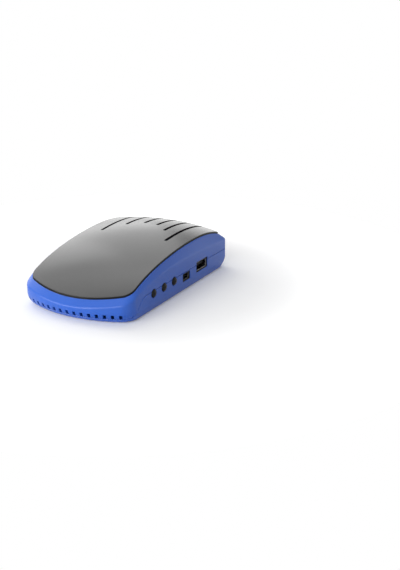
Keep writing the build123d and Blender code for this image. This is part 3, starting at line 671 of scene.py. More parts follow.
FINISHES: dict[str, Finish] = {
    "casing": Finish(
        "Blue satin moulding", (0.027, 0.116, 0.54), (0.025, 0.108, 0.51), (0.2, 0.27),
        scale=3800.0, wave=0.5, relief=0.14, depth=0.00003, dust=0.02, reflectance=0.34,
    ),
    "cover": Finish(
        "Black gloss moulding", (0.01, 0.01, 0.01), (0.013, 0.013, 0.013), (0.19, 0.24),
        scale=2600.0, wave=0.9, relief=0.03, depth=0.00003, dust=0.06,
    ),
    "button_rubber": Finish(
        "Black rubber cap", (0.005, 0.005, 0.005), (0.009, 0.009, 0.009), (0.22, 0.3),
        scale=4200.0, relief=0.15, dust=0.01, reflectance=0.12,
    ),
    "plunger": Finish("Grey plunger moulding", (0.05, 0.05, 0.052), (0.035, 0.035, 0.037), (0.4, 0.5)),
    "switch_housing": Finish("Switch housing", (0.02, 0.02, 0.022), (0.03, 0.03, 0.032), (0.42, 0.55)),
    # Painted shade: the port sheet's colour is set darker than bright tin, so that it shows the dark reflection of its
    # surroundings.
    "port_shell": Finish(
        "Tinned port sheet in painted shade", (0.3, 0.3, 0.31), (0.24, 0.24, 0.25), (0.16, 0.3),
        metallic=1.0, texture=Texture.STREAKS, relief=0.1, dust=0.02,
    ),
    # Black of the ports' insulators; the same black paints shade on the ring round the cover and on the frames in the
    # side ports' openings.
    "port_block": Finish(
        "Black port insulator and painted shade", (0.005, 0.005, 0.005), (0.008, 0.008, 0.008), (0.35, 0.48), dust=0.01, reflectance=0.12
    ),
    "contact": Finish(
        "Gilded contact", (0.86, 0.62, 0.25), (0.78, 0.52, 0.2), (0.14, 0.26),
        metallic=1.0, texture=Texture.STREAKS, relief=0.08, dust=0.0,
    ),
    "socket_nickel": Finish(
        "Nickel plate", (0.74, 0.72, 0.68), (0.62, 0.6, 0.56), (0.12, 0.24),
        metallic=1.0, texture=Texture.STREAKS, scale=1400.0, relief=0.08, dust=0.02,
    ),
    "insulator": Finish("Milky insulator", (0.72, 0.71, 0.66), (0.64, 0.62, 0.56), (0.38, 0.5), dust=0.03),
    "can_steel": Finish(
        "Tinned can", (0.62, 0.62, 0.63), (0.48, 0.49, 0.5), (0.24, 0.4),
        metallic=1.0, texture=Texture.STREAKS, relief=0.12, dust=0.1,
    ),
    "screw_steel": Finish(
        "Zinc screw", (0.5, 0.5, 0.52), (0.38, 0.39, 0.42), (0.26, 0.42),
        metallic=1.0, texture=Texture.STREAKS, scale=1800.0, relief=0.15, dust=0.03,
    ),
    "foot_rubber": Finish("Foot rubber", (0.02, 0.02, 0.02), (0.03, 0.03, 0.031), (0.6, 0.78), relief=0.35, dust=0.1),
    "board": Laminate(
        "Green board laminate", (0.018, 0.11, 0.032), (0.012, 0.08, 0.024), (0.26, 0.38),
        scale=2200.0, relief=0.2, dust=0.1,
    ),
    "chip": Finish("Moulded package", (0.018, 0.018, 0.02), (0.028, 0.028, 0.03), (0.48, 0.62), relief=0.3, dust=0.1),
    "thermal_pad": Finish("Soft grey pad", (0.32, 0.34, 0.38), (0.26, 0.28, 0.32), (0.62, 0.75), relief=0.3),
    "sink_aluminium": Finish(
        "Extruded aluminium", (0.62, 0.63, 0.65), (0.5, 0.51, 0.53), (0.28, 0.44),
        metallic=1.0, texture=Texture.STREAKS, relief=0.2, dust=0.1,
    ),
    "capacitor_aluminium": Finish(
        "Drawn aluminium", (0.68, 0.68, 0.7), (0.58, 0.58, 0.6), (0.2, 0.32),
        metallic=1.0, texture=Texture.STREAKS, relief=0.1, dust=0.08,
    ),
    "ferrite": Finish("Fired ferrite", (0.09, 0.09, 0.095), (0.06, 0.06, 0.064), (0.55, 0.7), relief=0.5, dust=0.1),
    "crystal_steel": Finish(
        "Drawn crystal can", (0.7, 0.7, 0.7), (0.6, 0.6, 0.61), (0.14, 0.26),
        metallic=1.0, texture=Texture.STREAKS, relief=0.08, dust=0.05,
    ),
    "sensor_lens": Finish("Smoked lens", (0.02, 0.012, 0.02), (0.03, 0.016, 0.026), (0.06, 0.12), coat=0.3),
    "lamp_lens": Finish("Tinted lens", (0.7, 0.05, 0.03), (0.6, 0.04, 0.03), (0.08, 0.16), transmission=0.4),
}


@dataclass
class Dresser:
    """Gives each piece the finish of its slot."""

    materials: dict[str, bpy.types.Material]

    def dress(
        self,
        piece: bpy.types.Object,
        slot: str,
        *nodes: str,
        body: str = "receiver",
        angle: float = SMOOTH_ANGLE,
    ) -> bpy.types.Object:
        """Finishes a piece with the material of its slot."""
        return finish_piece(piece, self.materials[slot], body, nodes, angle)


# ------------------------------ the casing's formulas


@dataclass
class CasingForm:
    """Plan outlines, heights and seam of the casing, as formulas on whole arrays."""

    width: float = 77.0
    length: float = 135.0
    front_y: float = -71.75
    front_bow: float = 10.3
    rear_bow: float = 3.2
    front_corner: float = 10.5
    rear_corner: float = 4.0
    wall: float = 2.0
    bottom: float = 0.6
    flare_top: float = 8.0
    lower_insets: tuple[float, float, float] = (1.5, 3.6, 5.0)
    crease_heights: tuple[float, ...] = (9.1, 23.4, 25.5, 18.6, 19.8)
    rim_heights: tuple[float, ...] = (11.1, 30.4, 25.8, 36.2, 23.3)
    crown_heights: tuple[float, ...] = (1.7, 1.5, 3.7)
    recess_insets: tuple[float, float, float] = (2.1, 4.5, 8.0)
    recess_corners: tuple[float, float] = (8.5, 2.2)
    rim_land: float = 0.4
    cover_proud: float = 1.2
    cover_thickness: float = 2.0
    cover_gap: float = 0.2
    deck_thickness: float = 1.6
    seam_heights: tuple[float, float] = (3.1, 13.0)
    seam_rise: tuple[float, float] = (10.2, 28.2)
    side_columns: int = 64
    corner_columns: int = 16
    bow_columns: int = 100
    seat_gap: float = 0.02
    middle: tuple[float, float] = (0.0, -6.0)
    innermost: float = 0.004
    seam_passes: int = 12

    def __post_init__(self) -> None:
        """Works out the radii, ends and column places that the formulas share."""
        self.half = self.width / 2
        self.rear_y = self.front_y + self.length
        self.front_radius = (self.half**2 + self.front_bow**2) / (2 * self.front_bow)
        self.rear_radius = (self.half**2 + self.rear_bow**2) / (2 * self.rear_bow)
        self.seat_lift = self.cover_proud - self.cover_thickness
        self.deck_lift = self.seat_lift - self.deck_thickness
        counts = [self.side_columns, self.corner_columns, self.bow_columns, self.corner_columns] * 2
        ends = np.cumsum([0] + counts)
        self.runs = [slice(a, b) for a, b in zip(ends, ends[1:])]
        self.share = np.concatenate([np.arange(n) / n for n in counts])
        self.columns = int(ends[-1])

    def plan(self, insets: tuple, rounds: tuple) -> np.ndarray:
        """Plan outline: two straight sides, two bows and four corner arcs that are tangent to them.

        A bow is an arc about a centre on the middle line; a corner's centre is where the arc of
        the bow's radius less the corner's meets the side less the corner's radius.

        Args:
            insets: How far the sides, the front and the rear are drawn in, as numbers or arrays.
            rounds: Radii of the front and the rear corners, as numbers or arrays.

        Returns:
            x and y of each row and column.
        """
        side, front, rear, front_round, rear_round = np.broadcast_arrays(
            *[np.asarray(v, float) for v in (*insets, *rounds)], np.zeros((1, self.columns))
        )[:5]
        half = self.half - side
        bow, back = self.front_radius - front, self.rear_radius - rear
        centre, back_centre = self.front_y + self.front_radius, self.rear_y - self.rear_radius
        low = centre - np.sqrt((bow - front_round) ** 2 - (half - front_round) ** 2)
        high = back_centre + np.sqrt((back - rear_round) ** 2 - (half - rear_round) ** 2)
        turn = np.arctan2(low - centre, half - front_round)
        back_turn = np.arctan2(high - back_centre, half - rear_round)
        u = np.broadcast_to(self.share, half.shape)
        x, y = np.empty(half.shape), np.empty(half.shape)

        def arc(
            run: slice, across: np.ndarray, along: np.ndarray, radius: np.ndarray, start: np.ndarray, end: np.ndarray
        ) -> None:
            """Fills one run with an arc about (across, along).

            Args:
                run: The columns to fill.
                across: x of the arc's centre.
                along: y of the arc's centre.
                radius: Its radius.
                start: Its first angle.
                end: Its last angle.
            """
            angle = start + (end - start) * u
            x[:, run] = (across + radius * np.cos(angle))[:, run]
            y[:, run] = (along + radius * np.sin(angle))[:, run]

        for run, sign, start, end in ((self.runs[0], 1, low, high), (self.runs[4], -1, high, low)):
            x[:, run] = (sign * half)[:, run]
            y[:, run] = (start + (end - start) * u)[:, run]
        zero, straight = np.zeros(half.shape), np.full(half.shape, np.pi)
        arc(self.runs[1], half - rear_round, high, rear_round, zero, back_turn)
        arc(self.runs[2], zero, zero + back_centre, back, back_turn, straight - back_turn)
        arc(self.runs[3], rear_round - half, high, rear_round, straight - back_turn, straight)
        arc(self.runs[5], front_round - half, low, front_round, straight, straight - turn)
        arc(self.runs[6], zero, zero + centre, bow, -straight - turn, turn)
        arc(self.runs[7], half - front_round, low, front_round, turn, zero)
        return np.stack([x, y], axis=-1)

    def wall_plan(self, height: object, offset: object = 0.0) -> np.ndarray:
        """Outline of the flared wall: each inset grows with the square of the drop below its top.

        Args:
            height: Heights, as a number or rows.
            offset: How far it is drawn in all round.

        Returns:
            x and y of each row and column.
        """
        drop = (self.flare_top - np.asarray(height, float)) / (self.flare_top - self.bottom)
        pull = np.maximum(0.0, drop) ** 2
        insets = tuple(lower * pull + offset for lower in self.lower_insets)
        return self.plan(insets, (self.front_corner - offset, self.rear_corner - np.asarray(offset) / 2))

    def recess_plan(self, offset: float) -> np.ndarray:
        """Outline of the cover's recess, drawn in by an offset all round."""
        front, rear = self.recess_corners
        return self.plan(tuple(v + offset for v in self.recess_insets), (front - offset, rear - offset / 2))

    @staticmethod
    def blend(t: np.ndarray, heights: tuple[float, ...]) -> np.ndarray:
        """Bernstein curve: the sum of each height times its binomial share of t and 1 - t.

        Args:
            t: Share of the way, 0 to 1.
            heights: The curve's control heights.

        Returns:
            The curve's height at each t.
        """
        order = len(heights) - 1
        total, binomial = np.zeros_like(t), 1.0
        for step, height in enumerate(heights):
            total = total + binomial * t**step * (1 - t) ** (order - step) * height
            binomial = binomial * (order - step) / (step + 1)
        return total

    def crease(self, y: np.ndarray) -> np.ndarray:
        """Height where the wall turns into the shoulder."""
        return self.blend((y - self.front_y) / self.length, self.crease_heights)

    def dome(self, x: np.ndarray, y: np.ndarray, lift: float = 0.0) -> np.ndarray:
        """Height of the dome: the rim's curve plus a crown that falls with the square of x.

        Args:
            x: Places across.
            y: Places along.
            lift: How far over the dome.

        Returns:
            The heights.
        """
        low, high = self.front_y + self.recess_insets[1], self.rear_y - self.recess_insets[2]
        t = (y - low) / (high - low)
        crown = self.blend(t, self.crown_heights) * (1 - (x / (self.half - self.recess_insets[0])) ** 2)
        return self.blend(t, self.rim_heights) + crown + lift

    def seam(self, y: np.ndarray) -> np.ndarray:
        """Height of the seam: low at the front, then an S curve up to the sides' level.

        Args:
            y: Places along.

        Returns:
            The heights.
        """
        t = np.linspace(0, 1, 200)
        start, end = self.seam_rise
        low, high = self.seam_heights
        along = self.front_y + start + (end - start) * (1.5 * t * (1 - t) + t**3)
        height = low + (high - low) * (3 * t**2 - 2 * t**3)
        return np.interp(y, along, height)

    def rear_face(self, x: float) -> float:
        """Place along Y of the rear face: the rear bow's arc."""
        return float(self.rear_y - self.rear_radius + np.sqrt(self.rear_radius**2 - x**2))

    def seam_on_wall(self, offset: float, gap: float) -> np.ndarray:
        """Height where the wall meets the seam, by taking each height from its own outline in turn.

        Args:
            offset: How far the wall is drawn in.
            gap: Height over the seam.

        Returns:
            One row of heights.
        """
        height = np.full((1, self.columns), self.seam_heights[1])
        for _ in range(self.seam_passes):
            height = self.seam(self.wall_plan(height, offset)[..., 1]) + gap
        return height

    def raised(self, plan: np.ndarray, height: np.ndarray) -> np.ndarray:
        """Outline rows with their heights."""
        return np.concatenate([plan, np.broadcast_to(height, plan.shape[:2])[..., None]], axis=-1)

    def wall_rows(self, low: np.ndarray, high: np.ndarray, count: int, offset: float = 0.0) -> np.ndarray:
        """Rows of the wall at even heights from one level to another.

        Args:
            low: Lowest heights.
            high: Highest heights.
            count: Rows.
            offset: How far the wall is drawn in.

        Returns:
            The rows.
        """
        share = np.linspace(0, 1, count)[:, None]
        height = low + (high - low) * share
        return self.raised(self.wall_plan(height, offset), height)

    def rings(self, edge: np.ndarray, lift: float, count: int) -> np.ndarray:
        """Rows from an edge in to the middle on the dome: the outline shrinks evenly.

        Args:
            edge: The outermost row.
            lift: How far over the dome.
            count: Rows with the edge.

        Returns:
            The rows inside the edge.
        """
        share = np.linspace(1, self.innermost, count)[1:, None, None]
        middle = np.array(self.middle)
        plan = middle + (edge[None, :, :2] - middle) * share
        return self.raised(plan, self.dome(plan[..., 0], plan[..., 1], lift))

    def flat_rings(self, edge: np.ndarray, height: float, count: int) -> np.ndarray:
        """Rows from an edge in to the middle at one height.

        Args:
            edge: The outermost row.
            height: Their height.
            count: Rows with the edge.

        Returns:
            The rows inside the edge.
        """
        share = np.linspace(1, self.innermost, count)[1:, None, None]
        middle = np.array(self.middle)
        return self.raised(middle + (edge[None, :, :2] - middle) * share, height)


def bend(start: np.ndarray, corner: np.ndarray, end: np.ndarray, count: int) -> np.ndarray:
    """Rows of a fillet: the quadratic curve from start to end drawn towards the corner."""
    t = np.linspace(0, 1, count)[:, None, None]
    return (1 - t) ** 2 * start + 2 * t * (1 - t) * corner + t**2 * end


def towards(start: np.ndarray, goal: np.ndarray, distance: float) -> np.ndarray:
    """Points a distance from each start on the way to its goal."""
    way = goal - start
    return start + way * distance / np.linalg.norm(way, axis=-1, keepdims=True)


@dataclass
class Posts:
    """Screw posts inside the casing, at the places of the CAD screws."""

    form: CasingForm
    case_places: tuple[tuple[float, float], ...] = ((-30.0, -55.95), (30.0, -55.95), (-32.5, 36.65), (32.5, 36.65))
    board_places: tuple[tuple[float, float], ...] = ((-30.0, -44.95), (30.0, -44.95), (-31.0, 13.05), (31.0, 13.05))
    peg_places: tuple[tuple[float, float], ...] = ((-31.0, -31.75), (31.0, -31.75), (-31.0, 24.25), (31.0, 24.25))
    foot_places: tuple[tuple[float, float], ...] = ((-25.0, -41.75), (25.0, -41.75), (-25.0, 48.25), (25.0, 48.25))
    case_radius: float = 3.3
    case_hole: float = 1.35
    case_lift: float = -1.6
    split: float = 5.6
    board_radius: float = 3.0
    board_hole: float = 1.15
    peg_hole: float = 1.65
    foot_radius: float = 4.6
    columns: int = 40

    def cylinders(self, places: tuple, radius: float, low: float, high: float, count: int = 40) -> Surface:
        """Plain round bodies at several places."""
        return joined([lathe([(radius, low), (radius, high)], spot, Axis.Z, count) for spot in places])

    def domed(self, places: tuple, radius: float, low: float, lift: float) -> Surface:
        """Round bodies whose tops follow the dome at a lift.

        Args:
            places: x and y of each.
            radius: Their radius.
            low: Height of their feet.
            lift: How far over the dome their tops are.

        Returns:
            The bodies as one.
        """
        bodies = []
        for x, y in places:
            ring = circle(self.columns) * radius + (x, y)
            foot = np.column_stack([ring, np.full(self.columns, low)])
            top = np.column_stack([ring, self.form.dome(ring[:, 0], ring[:, 1], lift)])
            bodies.append(loft(np.stack([foot, top])))
        return joined(bodies)


@dataclass
class SideOpenings:
    """Cutting bodies for the ports and buttons of the right side, with a small broken edge."""

    form: CasingForm
    large_port: tuple[float, float, float, float] = (24.85, 11.5, 15.0, 7.0)
    small_port: tuple[float, float, float, float] = (4.35, 9.8, 9.5, 5.4)
    buttons: tuple[float, ...] = (-35.55, -23.35, -11.15)
    button_height: float = 11.5
    button_radius: float = 2.85
    corner: float = 0.9
    edge: float = 0.15
    depth: float = 4.0
    beyond: float = 1.0

    def tools(self) -> Surface:
        """The ports' rounded rectangles and the buttons' circles, carried through the wall.

        Returns:
            The bodies as one.
        """
        face = self.form.half
        levels = [(0.0, face - self.depth), (0.0, face - self.edge), (-self.edge - self.beyond, face + self.beyond)]
        bodies = [
            prism(rectangle(width, height), levels, (y, z), Axis.X, self.corner)
            for y, z, width, height in (self.large_port, self.small_port)
        ]
        profile = [(self.button_radius - amount, along) for amount, along in levels]
        bodies += [lathe(profile, (y, self.button_height), Axis.X, 48) for y in self.buttons]
        return joined(bodies)


@dataclass
class RearOpenings:
    """Cutting bodies for the sockets of the rear face."""

    form: CasingForm
    aerial: tuple[float, float, float] = (-18.0, 13.0, 5.0)
    sound: tuple[float, float, float] = (13.5, 10.9, 3.3)
    power: tuple[float, float, float] = (24.5, 14.0, 4.2)
    screen: tuple[float, float, float, float] = (0.0, 10.9, 15.6, 6.2)
    corner: float = 0.8
    edge: float = 0.15
    depth: float = 5.0
    beyond: float = 1.0

    def tools(self) -> Surface:
        """Circles and one rounded rectangle, carried through the wall along Y.

        Returns:
            The bodies as one.
        """
        bodies = []
        for x, z, radius in (self.aerial, self.sound, self.power):
            face = self.form.rear_face(x)
            mouth = (radius + self.edge + self.beyond, face + self.beyond)
            bodies.append(lathe([(radius, face - self.depth), (radius, face - self.edge), mouth], (z, x), Axis.Y, 48))
        x, z, width, height = self.screen
        face = self.form.rear_face(x)
        levels = [(0.0, face - self.depth), (0.0, face - self.edge), (-self.edge - self.beyond, face + self.beyond)]
        bodies.append(prism(rectangle(height, width), levels, (z, x), Axis.Y, self.corner))
        return joined(bodies)


@dataclass
class CoverSlots:
    """The six air slots of the cover and the windows under them, longer towards the middle."""

    form: CasingForm
    count: int = 6
    pitch: float = 9.6
    width: float = 2.0
    length: float = 25.5
    gain: float = 0.04
    end: float = 51.25
    edge: float = 0.1
    flare: float = 0.5
    cut_below: float = 4.0
    cut_above: float = 8.0
    margin: float = 0.9
    window_span: tuple[float, float] = (13.5, 45.0)
    window_corner: float = 0.3

    def places(self) -> list[tuple[float, float]]:
        """x and front end of each slot."""
        across = self.pitch * (np.arange(self.count) - (self.count - 1) / 2)
        return [(float(x), float(self.end - self.length - self.gain * x**2)) for x in across]

    def stadium(self, x: float, front: float, grow: float) -> np.ndarray:
        """Long round-ended outline: a half circle at each end and points along both sides.

        Args:
            x: Place across.
            front: The slot's front end.
            grow: How much larger than the slot.

        Returns:
            x and y of its points.
        """
        radius = self.width / 2 + grow
        half = (self.end - front) / 2 - self.width / 2
        turn = np.linspace(0, np.pi, 13)
        run = np.linspace(-1, 1, 30)[1:-1] * half
        flank = np.full(len(run), radius)
        outline = np.concatenate([
            np.column_stack([radius * np.cos(turn), half + radius * np.sin(turn)]),
            np.column_stack([-flank, -run]),
            np.column_stack([-radius * np.cos(turn), -half - radius * np.sin(turn)]),
            np.column_stack([flank, run]),
        ])
        return outline + (x, (self.end + front) / 2)

    def cover_tools(self) -> Surface:
        """Slot cutters whose mouth follows the dome, with a small broken edge.

        Returns:
            The cutters as one.
        """
        proud = self.form.cover_proud
        lifts = [(0.0, -self.cut_below), (0.0, proud - self.edge)]
        lifts += [(self.flare, proud + (self.flare - self.edge)), (self.flare, proud + self.cut_above)]
        bodies = []
        for x, front in self.places():
            loops = []
            for grow, lift in lifts:
                outline = self.stadium(x, front, grow)
                loops.append(np.column_stack([outline, self.form.dome(outline[:, 0], outline[:, 1], lift)]))
            bodies.append(loft(np.array(loops)))
        return joined(bodies)

    def deck_tools(self) -> Surface:
        """Upright windows through the deck.

        Returns:
            The cutters as one.
        """
        bodies, (low, high) = [], self.window_span
        for x, front in self.places():
            size = rectangle(self.width + 2 * self.margin, self.end - front + 2 * self.margin)
            centre = (x, (front + self.end) / 2)
            bodies.append(prism(size, [(0, low), (0, high)], centre, Axis.Z, self.window_corner))
        return joined(bodies)


@dataclass
class FrontNotches:
    """The row of air notches along the front, square to the bow, and a shallow mark past the last one."""

    form: CasingForm
    count: int = 15
    pitch: float = 4.9
    width: float = 2.0
    low: float = 3.1
    high: float = 6.0
    outer: float = 1.0
    inner: float = -4.0
    below: float = 1.0
    corner: float = 0.15
    wall_inset: float = 1.05
    mark_share: float = 0.62
    mark_depth: float = 0.3
    mark_width: float = 0.7
    mark_lift: float = 0.6

    def tools(self) -> Surface:
        """Upright blocks set out by angle about the front bow's centre.

        Returns:
            The blocks as one.
        """
        radius = self.form.front_radius
        last, foot = (self.count - 1) / 2, self.low - self.below
        places = [(number - last, self.inner, self.width, foot) for number in range(self.count)]
        mark_inner = -self.wall_inset - self.mark_depth
        places.append((last + self.mark_share, mark_inner, self.mark_width * self.width, self.low + self.mark_lift))
        bodies = []
        for step, inner, width, low in places:
            angle = -np.pi / 2 + step * self.pitch / radius
            corners = rectangle(self.outer - inner, width) + (radius + (self.outer + inner) / 2, 0)
            turn = np.array([[np.cos(angle), np.sin(angle)], [-np.sin(angle), np.cos(angle)]])
            outline = rounded(corners, self.corner, 3) @ turn + (0, self.form.front_y + radius)
            loops = np.stack([np.column_stack([outline, np.full(len(outline), z)]) for z in (low, self.high)])
            bodies.append(loft(loops))
        return joined(bodies)


@dataclass
class UpperShell:
    """Shoulder, side walls and the deck under the cover, as one skin from the deck's underside round to its top."""

    form: CasingForm
    seam_gap: float = 0.06
    crease_round: float = 1.1
    edge: float = 0.28
    mouth_round: float = 0.1
    halvings: int = 24
    peg_hole_span: tuple[float, float] = (10.0, 45.0)
    screw_hole_span: tuple[float, float] = (4.0, 13.0)

    def skin(self) -> Surface:
        """Profile carried round the plan: deck underside, inner wall, seam, outer wall, shoulder, recess.

        The inner wall's slope ends where it meets the deck's underside: the span between a point
        under the deck and one over it is halved until both are the same.

        Returns:
            The closed skin.
        """
        form = self.form
        corners = (form.front_corner - form.wall, form.rear_corner - form.wall / 2)
        inner_foot_plan = form.plan((form.wall,) * 3, corners)
        foot_in = form.raised(inner_foot_plan, form.crease(inner_foot_plan[..., 1]) - form.wall / 2)
        head_plan = form.recess_plan(form.wall - form.rim_land)
        head_in = form.raised(head_plan, form.dome(head_plan[..., 0], head_plan[..., 1], -form.wall / 2))
        low, high = np.zeros((1, form.columns, 1)), np.ones((1, form.columns, 1))
        for _ in range(self.halvings):
            middle = (low + high) / 2
            point = foot_in + (head_in - foot_in) * middle
            above = (point[..., 2] > form.dome(point[..., 0], point[..., 1], form.deck_lift))[..., None]
            low, high = np.where(above, low, middle), np.where(above, middle, high)
        meeting = foot_in + (head_in - foot_in) * low
        underside = form.rings(meeting[0], form.deck_lift, 12)[::-1]
        slope = meeting + (foot_in - meeting) * np.linspace(0, 1, 4)[:, None, None]
        seam_in = form.seam_on_wall(form.wall, self.seam_gap)
        inner = form.wall_rows(foot_in[..., 2], seam_in, 7, form.wall)[1:]
        seam_out = form.seam_on_wall(0.0, self.seam_gap)
        lip = form.raised(form.wall_plan(seam_out, self.edge), seam_out)
        crease_plan = form.wall_plan(form.flare_top)
        crease = form.raised(crease_plan, form.crease(crease_plan[..., 1]))
        outer = form.wall_rows(seam_out + self.edge, crease[..., 2] - self.crease_round, 16)
        rim_plan = form.recess_plan(-form.rim_land)
        rim = form.raised(rim_plan, form.dome(rim_plan[..., 0], rim_plan[..., 1]))
        fillet = bend(outer[-1:], crease, towards(crease, rim, self.crease_round), 8)[1:]
        shoulder_end = towards(rim, crease, self.edge)
        shoulder = fillet[-1:] + (shoulder_end - fillet[-1:]) * np.linspace(0, 1, 7)[1:, None, None]
        land_plan = form.recess_plan(0.0)
        land = form.raised(land_plan, form.dome(land_plan[..., 0], land_plan[..., 1]))
        rim_round = bend(shoulder_end, rim, towards(rim, land, self.edge), 5)[1:]
        well = land - (0, 0, form.cover_thickness - form.cover_proud)
        mouth = bend(towards(land, rim, self.mouth_round), land, towards(land, well, self.mouth_round), 3)
        deck = form.rings(well[0], form.seat_lift, 14)
        inside, outside = [underside, slope, inner, lip], [outer, fillet, shoulder, rim_round]
        return loft(np.concatenate(inside + outside + [mouth, well, deck]))

    def build(self, posts: Posts, slots: CoverSlots, openings: list[Surface], notches: Surface) -> bpy.types.Object:
        """Shell with its posts, then its openings, windows, holes and notches.

        Args:
            posts: The screw posts and peg places.
            slots: The cover's slots, whose windows the deck has.
            openings: Cutting bodies of the side and the rear.
            notches: Cutting bodies of the front.

        Returns:
            The shell in millimetres.
        """
        piece = new_object("casing_upper", self.skin())
        combine(piece, posts.domed(posts.case_places, posts.case_radius, posts.split, posts.case_lift), Cut.ADD)
        for tool in (*openings, notches, slots.deck_tools()):
            combine(piece, tool, Cut.REMOVE)
        combine(piece, posts.cylinders(posts.peg_places, posts.peg_hole, *self.peg_hole_span), Cut.REMOVE)
        combine(piece, posts.cylinders(posts.case_places, posts.case_hole, *self.screw_hole_span), Cut.REMOVE)
        return piece

    def dress(
        self, dresser: Dresser, posts: Posts, slots: CoverSlots, openings: list[Surface], notches: Surface
    ) -> None:
        """Builds the shell and gives it the casing's finish."""
        dresser.dress(self.build(posts, slots, openings, notches), "casing", "upper_shell")


@dataclass
class LowerShell:
    """Tray with a flared wall, its posts, screw wells and foot recesses."""

    form: CasingForm
    seam_gap: float = 0.06
    edge: float = 0.18
    base_round: float = 0.6
    least_wall: float = 0.3
    post_foot: float = 1.5
    board_top: float = 6.2
    board_hole_span: tuple[float, float] = (3.1, 7.0)
    foot_span: tuple[float, float] = (-1.0, 1.1)
    screw_well: tuple[tuple[float, float], ...] = (
        (3.1, -1.0), (3.1, 0.3), (2.8, 0.75), (2.8, 2.7), (1.6, 2.7), (1.6, 6.5),
    )

    def skin(self) -> Surface:
        """Profile carried round the plan: underside, base edge, flared wall, seam, inner wall, floor.

        Returns:
            The closed skin.
        """
        form = self.form
        base_plan = form.wall_plan(form.bottom)
        base = form.raised(base_plan, form.bottom)
        top_out = form.seam_on_wall(0.0, -self.seam_gap)
        foot_height = np.full((1, form.columns), form.bottom + self.base_round)
        wall = form.wall_rows(foot_height, top_out - self.edge, 14)
        flat = form.raised(form.wall_plan(form.bottom, self.base_round), form.bottom)
        foot = bend(flat, base, wall[:1], 6)[:-1]
        underside = form.flat_rings(flat[0], form.bottom, 10)[::-1]
        lip = form.raised(form.wall_plan(top_out, self.edge), top_out)
        top_in = form.seam_on_wall(form.wall, -self.seam_gap)
        floor = form.bottom + form.wall
        top_in = np.maximum(top_in, floor + self.least_wall)
        inner = form.wall_rows(top_in, np.full((1, form.columns), floor), 8, form.wall)
        return loft(np.concatenate([underside, foot, wall, lip, inner, form.flat_rings(inner[-1], floor, 8)]))

    def build(self, posts: Posts, openings: list[Surface]) -> bpy.types.Object:
        """Tray with posts, then its openings, wells and recesses.

        Args:
            posts: The screw posts and foot places.
            openings: Cutting bodies of the side and the rear.

        Returns:
            The tray in millimetres.
        """
        piece = new_object("casing_lower", self.skin())
        combine(piece, posts.cylinders(posts.case_places, posts.case_radius, self.post_foot, posts.split), Cut.ADD)
        combine(piece, posts.cylinders(posts.board_places, posts.board_radius, self.post_foot, self.board_top), Cut.ADD)
        for tool in openings:
            combine(piece, tool, Cut.REMOVE)
        wells = joined([lathe(self.screw_well, spot, Axis.Z, posts.columns) for spot in posts.case_places])
        combine(piece, wells, Cut.REMOVE)
        combine(piece, posts.cylinders(posts.board_places, posts.board_hole, *self.board_hole_span), Cut.REMOVE)
        combine(piece, posts.cylinders(posts.foot_places, posts.foot_radius, *self.foot_span, 56), Cut.REMOVE)
        return piece

    def dress(self, dresser: Dresser, posts: Posts, openings: list[Surface]) -> None:
        """Builds the tray and gives it the casing's finish."""
        dresser.dress(self.build(posts, openings), "casing", "lower_shell")


